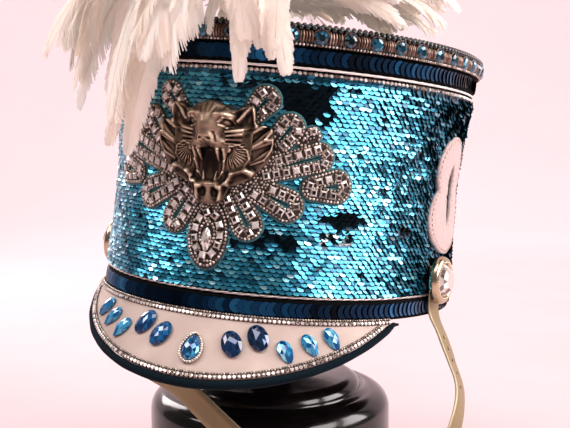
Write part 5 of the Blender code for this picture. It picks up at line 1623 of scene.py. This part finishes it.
def smooth_run(rows, stations):
    """Reads a smooth curve through the rows at even steps."""
    rows = np.array(rows)
    padded = np.vstack((2 * rows[0] - rows[1], rows, 2 * rows[-1] - rows[-2]))
    points = []
    for place in np.linspace(0, len(rows) - 1, stations):
        i = min(int(place), len(rows) - 2)
        t = place - i
        a, b, c, d = padded[i:i + 4]
        points.append(0.5 * (2 * b + (c - a) * t + (2 * a - 5 * b + 4 * c - d) * t ** 2
                             + (3 * b - a - 3 * c + d) * t ** 3))
    return np.array(points)


def build_strap(finish):
    """The flat gold strap from button to button, with soft edges and punched adjusting holes."""
    rows = []
    middle = STRAP_SEAT + STRAP_WALL / 2
    for side in (-1, 1):
        angle = side * BUTTON_ANGLE
        normal = wall_normal(np.array(angle))
        around = math.degrees(math.atan2(normal[0], -normal[1]))
        pinned = [(*wall(angle, z, middle), around, 0)
                  for z in (BUTTON_HEIGHT + STRAP_TOP, BUTTON_HEIGHT - 4 * MM, 1 * MM)]
        rows += pinned if side < 0 else [*((x * MM, y * MM, z * MM, turn, down)
                                           for x, y, z, turn, down in STRAP_RUN), *reversed(pinned)]
    run = smooth_run(rows, 260)
    places = run[:, :3]
    ahead = unit(np.gradient(places, axis=0))
    around, down = np.radians(run[:, 3]), np.radians(run[:, 4])
    face = np.stack((np.sin(around) * np.cos(down), -np.cos(around) * np.cos(down), -np.sin(down)), 1)
    side = unit(np.cross(ahead, face))
    face = np.cross(side, ahead)
    half, thick = STRAP_WIDTH / 2, STRAP_WALL / 2
    section = ((1.0, 0.0), (0.985, 0.7), (0.93, 1.0), (0.5, 1.0), (0.0, 1.0), (-0.5, 1.0), (-0.93, 1.0),
               (-0.985, 0.7), (-1.0, 0.0), (-0.985, -0.7), (-0.93, -1.0), (0.0, -1.0), (0.93, -1.0),
               (0.985, -0.7))
    points = np.stack([places + side * (x * half) + face * (y * thick) for x, y in section], 1)
    columns = len(section)
    quads = grid(len(places), columns, wrap_columns=True)[:, ::-1]
    edge = np.array([0.95 if abs(section[j][0]) > 0.96 else 0.5 for j in range(columns)])
    tone = np.tile((edge + np.roll(edge, -1)) / 2, len(places) - 1)
    last = (len(places) - 1) * columns
    piece = Piece("gold_chin_strap", "gold_strap", "chin_strap")
    ends = np.arange(columns)[None], np.arange(last, last + columns)[None, ::-1]
    piece.add((points.reshape(-1, 3), [quads, *ends]), finish["strap"], 0.5)
    piece.tones[0] = tone
    strap = piece.done()
    punch_holes(strap, places, side, face)


# Places of the strap's holes, as shares of its length from the wearer's right button
STRAP_HOLES = (0.755, 0.778, 0.801, 0.824, 0.847)


def punch_holes(strap, places, side, face):
    """Cuts a row of round holes through the strap."""
    cutter = bmesh.new()
    for share in STRAP_HOLES:
        i = int(share * (len(places) - 1))
        matrix = Matrix((side[i], np.cross(face[i], side[i]), face[i])).transposed().to_4x4()
        matrix.translation = places[i]
        bmesh.ops.create_cone(cutter, cap_ends=True, segments=14, radius1=HOLE_RADIUS, radius2=HOLE_RADIUS,
                              depth=4 * STRAP_WALL, matrix=matrix)
    mesh = bpy.data.meshes.new("strap_hole_punch")
    cutter.transform(HAT)
    cutter.to_mesh(mesh)
    cutter.free()
    punch = bpy.data.objects.new("strap_hole_punch", mesh)
    bpy.context.scene.collection.objects.link(punch)
    cut = strap.modifiers.new("Holes", "BOOLEAN")
    cut.operation = "DIFFERENCE"
    cut.solver = "EXACT"
    cut.object = punch
    bpy.context.view_layer.update()
    graph = bpy.context.evaluated_depsgraph_get()
    punched = bpy.data.meshes.new_from_object(strap.evaluated_get(graph))
    strap.modifiers.clear()
    strap.data = punched
    bpy.data.objects.remove(punch)


def plume_place(across, forward, up):
    """A place from shares of the crown's half width and half length and of the plume's height."""
    return np.array((across * HALF_WIDTH, -forward * HALF_LENGTH, TOP_Z + up * PLUME_HEIGHT))


def grow_feather(piece, finish, root, bend, tip, half_width, tone, splay):
    """One feather: a tapering quill on a curve, and barbs on both sides that lean towards its tip."""
    length = np.linalg.norm(bend - root) + np.linalg.norm(tip - bend)
    count = max(30, int(length / BARB_PITCH))
    v = np.linspace(0, 1, count)
    spine = (np.outer((1 - v) ** 2, root) + np.outer(2 * v * (1 - v), bend) + np.outer(v ** 2, tip))
    ahead = unit(np.gradient(spine, axis=0))
    # The flat of the feather faces away from the plume's heart, give or take its own splay
    away = unit(spine - np.array((0, -0.35 * PLUME_SEAT, TOP_Z - 40 * MM)) + splay * 60 * MM)
    side = unit(np.cross(ahead, away))
    face = np.cross(side, ahead)
    radii = np.tile(QUILL_RADIUS * (1 - 0.85 * v[::5])[:, None], (1, 4))
    piece.add(sweep(spine[::5], side[::5], face[::5], radii, False), finish["feather"], 0.25)
    # Full from near the root, and blunt: the vane closes only in its last fifth
    shape = np.minimum((v / 0.16) ** 0.7, 1) * np.sqrt(1 - (np.clip(v - 0.72, 0, 1) / 0.285) ** 2)
    # Four draws, of which the waves below use three
    parting, _, swell, curling = RANDOM.uniform(0, 6, 4)
    clumps = RANDOM.integers(7, 12)
    for hand in (1, -1):
        # Barbs hold together in clumps that part from one another, and are loose near the root
        split = (v * clumps + parting + hand) % 1 - 0.5
        lean = np.radians(56 - 26 * v) - 0.16 * split + RANDOM.normal(0, 0.025, count)
        lean += RANDOM.normal(0, 0.28, count) * np.clip(0.3 - v, 0, 1) / 0.3
        wave = 1 + 0.10 * np.sin(9 * v + swell)
        reach = half_width * shape * RANDOM.normal(1.0, 0.03, count) * wave
        reach = np.maximum(reach * (1 - 0.18 * np.abs(split)), 0.8 * MM)
        curl = RANDOM.normal(0.22, 0.05, count) + 0.14 * np.sin(15 * v + curling)
        thick = BARB_WIDTH * RANDOM.uniform(0.9, 1.2, count)
        rows = []
        for x in (0, 0.4, 0.8, 1.0):
            bent = lean * (1 - 0.30 * x)
            path = spine + (side * (hand * np.sin(bent) * reach * x)[:, None]
                            + ahead * (np.cos(bent) * reach * x)[:, None]
                            - face * (curl * reach * x * x)[:, None])
            width = (thick * (1 - 0.68 * x ** 2))[:, None] * (ahead * np.sin(bent)[:, None]
                                                             - side * (hand * np.cos(bent))[:, None])
            rows += [path - width / 2, path + width / 2]
        base = np.arange(count)[:, None, None] * 8
        strip = np.array(((0, 2, 3, 1), (2, 4, 5, 3), (4, 6, 7, 5)))[:, ::hand]
        shade = np.clip(tone + RANDOM.normal(0, 0.05, count) + 0.1 * split, 0, 1)
        piece.add((np.stack(rows, 1).reshape(-1, 3), [(strip[None] + base).reshape(-1, 4)]),
                  finish["feather"], shade)


# Short downy feathers that lie over the crown's top and its rim, as tip and bend
DOWN = (
    (0.62, 0.92, 0.17, 0.30, 0.85, 0.30),
    (0.80, 0.72, 0.16, 0.42, 0.75, 0.30),
    (0.92, 0.42, 0.14, 0.50, 0.58, 0.28),
    (0.86, 0.12, 0.14, 0.46, 0.40, 0.28),
    (0.55, -0.15, 0.16, 0.30, 0.28, 0.30),
    (0.10, -0.25, 0.18, 0.05, 0.22, 0.32),
    (-0.45, -0.05, 0.18, -0.24, 0.30, 0.32),
    (-0.82, 0.35, 0.16, -0.45, 0.50, 0.30),
    (-0.60, 0.95, 0.05, -0.30, 0.92, 0.30),
    (0.16, 1.16, 0.02, 0.08, 1.02, 0.28),
)


# How a lock's feathers keep together: their spread, stray, shortening and shift
LOOSE_HABIT = (34, 4.5, 0.42, (0, 0, 0))
FALL_HABITS = {
    LOCKS[0]: (14, 3, 0.24, (-3, 0, 0)),
    LOCKS[1]: (14, 3, 0.24, (-3, 0, 0)),
    LOCKS[2]: (14, 3, 0.24, (5, 0, 0)),
    LOCKS[3]: (25, 3, 0.30, (-4, 0, 7)),
}


def build_plume(finish):
    """Feathers that follow the plume's locks: the front fall, the standing burst and the down below."""
    centre = np.array((0, -PLUME_SEAT, TOP_Z + TOP_DOME + FIT + PLUME_HEAD_HEIGHT / 2))
    down = [(*row, 0.9) for row in DOWN]
    for name, locks, nodes, size in (("plume_front_fall", LOCKS[:6], ("plume",), 19),
                                     ("plume_burst_front", LOCKS[6:10], (), 15),
                                     ("plume_burst_back", LOCKS[10:], (), 15),
                                     ("plume_down", down, (), 13)):
        piece = Piece(name, "feather", *nodes)
        for row in locks:
            tip, bend, width = plume_place(*row[:3]), plume_place(*row[3:6]), row[6]
            count = round(10 * width) + 3
            # The small shift keeps the length above nothing where a lock runs straight
            way = unit(np.cross(tip - bend, bend - centre) + np.array((1e-6, 0, 0)))
            spread, stray, drawn_up, shift = FALL_HABITS.get(row, LOOSE_HABIT)
            for i in range(count):
                fan = (i + 0.5) / count - 0.5
                mine_tip = (tip + way * (fan * spread * MM * width) + np.array(shift) * MM
                            + RANDOM.normal(0, stray * MM, 3)
                            - (tip - bend) * RANDOM.uniform(0.0, drawn_up))
                mine_bend = bend + way * (fan * 26 * MM * width) + RANDOM.normal(0, 5 * MM, 3)
                grow_feather(piece, finish, centre + (mine_bend - centre) * 0.06, mine_bend, mine_tip,
                             size * (0.45 + 0.55 * width) * MM * RANDOM.uniform(0.75, 1.15),
                             RANDOM.uniform(0.45, 0.85),
                             RANDOM.normal(0, 0.5, 3))
        # A soft heart holds the feathers' roots
        if nodes:
            points, faces = bead_shape(3)
            piece.add((centre + points * (11 * MM, 11 * MM, 14 * MM), faces), finish["feather"], 0.4)
        piece.done()


def dress_board(finish):
    """The stiff board under the peak keeps its own solid."""
    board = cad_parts["visor_board"]
    board.data.materials.clear()
    board.data.materials.append(finish["buckram"])


# Stage

def build_stage():
    """A pale paper sweep behind and under the stand, a dim room and five soft lights."""
    # The paper glows, from none at the front of the floor to most up the back: painted light that keeps it
    # pale where the soft lights don't reach
    paper, shader, place = surface("pale_paper_sweep", {"Roughness": 0.9,
                                                        "Emission Color": linear("#ffe6e9")})
    depth = add(paper, "SeparateXYZ", None, {"Vector": place})
    glow = add(paper, "MapRange", None, {"Value": depth.outputs["Y"], "From Min": 0.1,
                                         "From Max": 1.3, "To Min": 0.0, "To Max": 0.65})
    connect(paper, glow.outputs["Result"], shader, "Emission Strength")
    fibre = add(paper, "TexNoise", None, {"Vector": place, "Scale": 1 / (120 * MM), "Detail": 2.0})
    colour = add(paper, "ValToRGB", None, {"Fac": fibre.outputs["Fac"]},
                 ((0.3, "#c8b2b5"), (0.7, "#cdb7bb")))
    connect(paper, colour.outputs["Color"], shader, "Base Color")
    # The sheet's side view, in metres: flat on the floor, then a quarter round, then upright
    flat, bend = 1.2, 0.9
    profile = [(-2.5, 0.0), (flat, 0.0)]
    for t in np.linspace(0, math.pi / 2, 24)[1:]:
        profile.append((flat + bend * math.sin(t), bend * (1 - math.cos(t))))
    profile.append((flat + bend, 3.2))
    rows = [np.stack((np.array((-3.5, 3.5)), np.full(2, y), np.full(2, z)), 1) for y, z in profile]
    mesh = bpy.data.meshes.new("paper_sweep")
    mesh.from_pydata(np.vstack(rows).tolist(), [], grid(len(rows), 2).tolist())
    mesh.shade_smooth()
    mesh.materials.append(paper)
    sweep_object = bpy.data.objects.new("paper_sweep", mesh)
    sweep_object.rotation_euler = (0, 0, VIEW_TURN)
    bpy.context.scene.collection.objects.link(sweep_object)

    world = bpy.data.worlds.new("soft_room")
    world.use_nodes = True
    room = world.node_tree.nodes["Background"].inputs
    room["Color"].default_value = linear("#fff1f1")
    room["Strength"].default_value = 0.15
    bpy.context.scene.world = world
    # Name, place, aim, width, height, watts
    lights = (
        ("front_softbox", (1.15, -0.28, 0.74), (0, 0, 0.22), 0.5, 0.6, 9),
        ("right_softbox", (1.12, 0.36, 0.70), (0, 0, 0.2), 0.7, 0.7, 15),
        ("left_softbox", (-0.80, -0.50, 1.20), (0, 0, 0.28), 0.6, 0.6, 12),
        ("rear_softbox", (-0.90, 0.60, 0.75), (0, 0, 0.22), 0.4, 0.6, 6),
        ("top_softbox", (0.15, -0.45, 1.3), (0, 0, 0.2), 0.8, 0.8, 11),
    )
    for name, where, aim, width, height, power in lights:
        lamp = bpy.data.lights.new(name, "AREA")
        lamp.shape = "RECTANGLE"
        lamp.size, lamp.size_y = width, height
        lamp.energy = power
        lamp.color = linear("#fff6f4")[:3]
        obj = bpy.data.objects.new(name, lamp)
        obj.location = where
        obj.rotation_euler = (Vector(aim) - Vector(where)).to_track_quat("-Z", "Y").to_euler()
        bpy.context.scene.collection.objects.link(obj)


def build_camera():
    """The photograph's own view: a little to the wearer's left of the front, almost level."""
    lens = bpy.data.cameras.new("photo_view")
    lens.sensor_width = VIEW_SENSOR
    lens.lens = VIEW_LENS
    camera = bpy.data.objects.new("photo_view", lens)
    camera.location = VIEW_PLACE
    camera.rotation_euler = (VIEW_TILT, 0, VIEW_TURN)
    bpy.context.scene.collection.objects.link(camera)
    bpy.context.scene.camera = camera
    bpy.context.scene.view_settings.view_transform = "Standard"


def main():
    finish = make_finishes()
    build_camera()
    build_stage()
    for build in (build_stand, build_shell, build_sequins, build_bands, build_pipings, build_upper_chain,
                  build_braid, build_peak, build_peak_stones, build_ornament, build_drop_stone, build_head,
                  build_patches, build_buttons, build_strap, build_plume, dress_board):
        build(finish)


main()
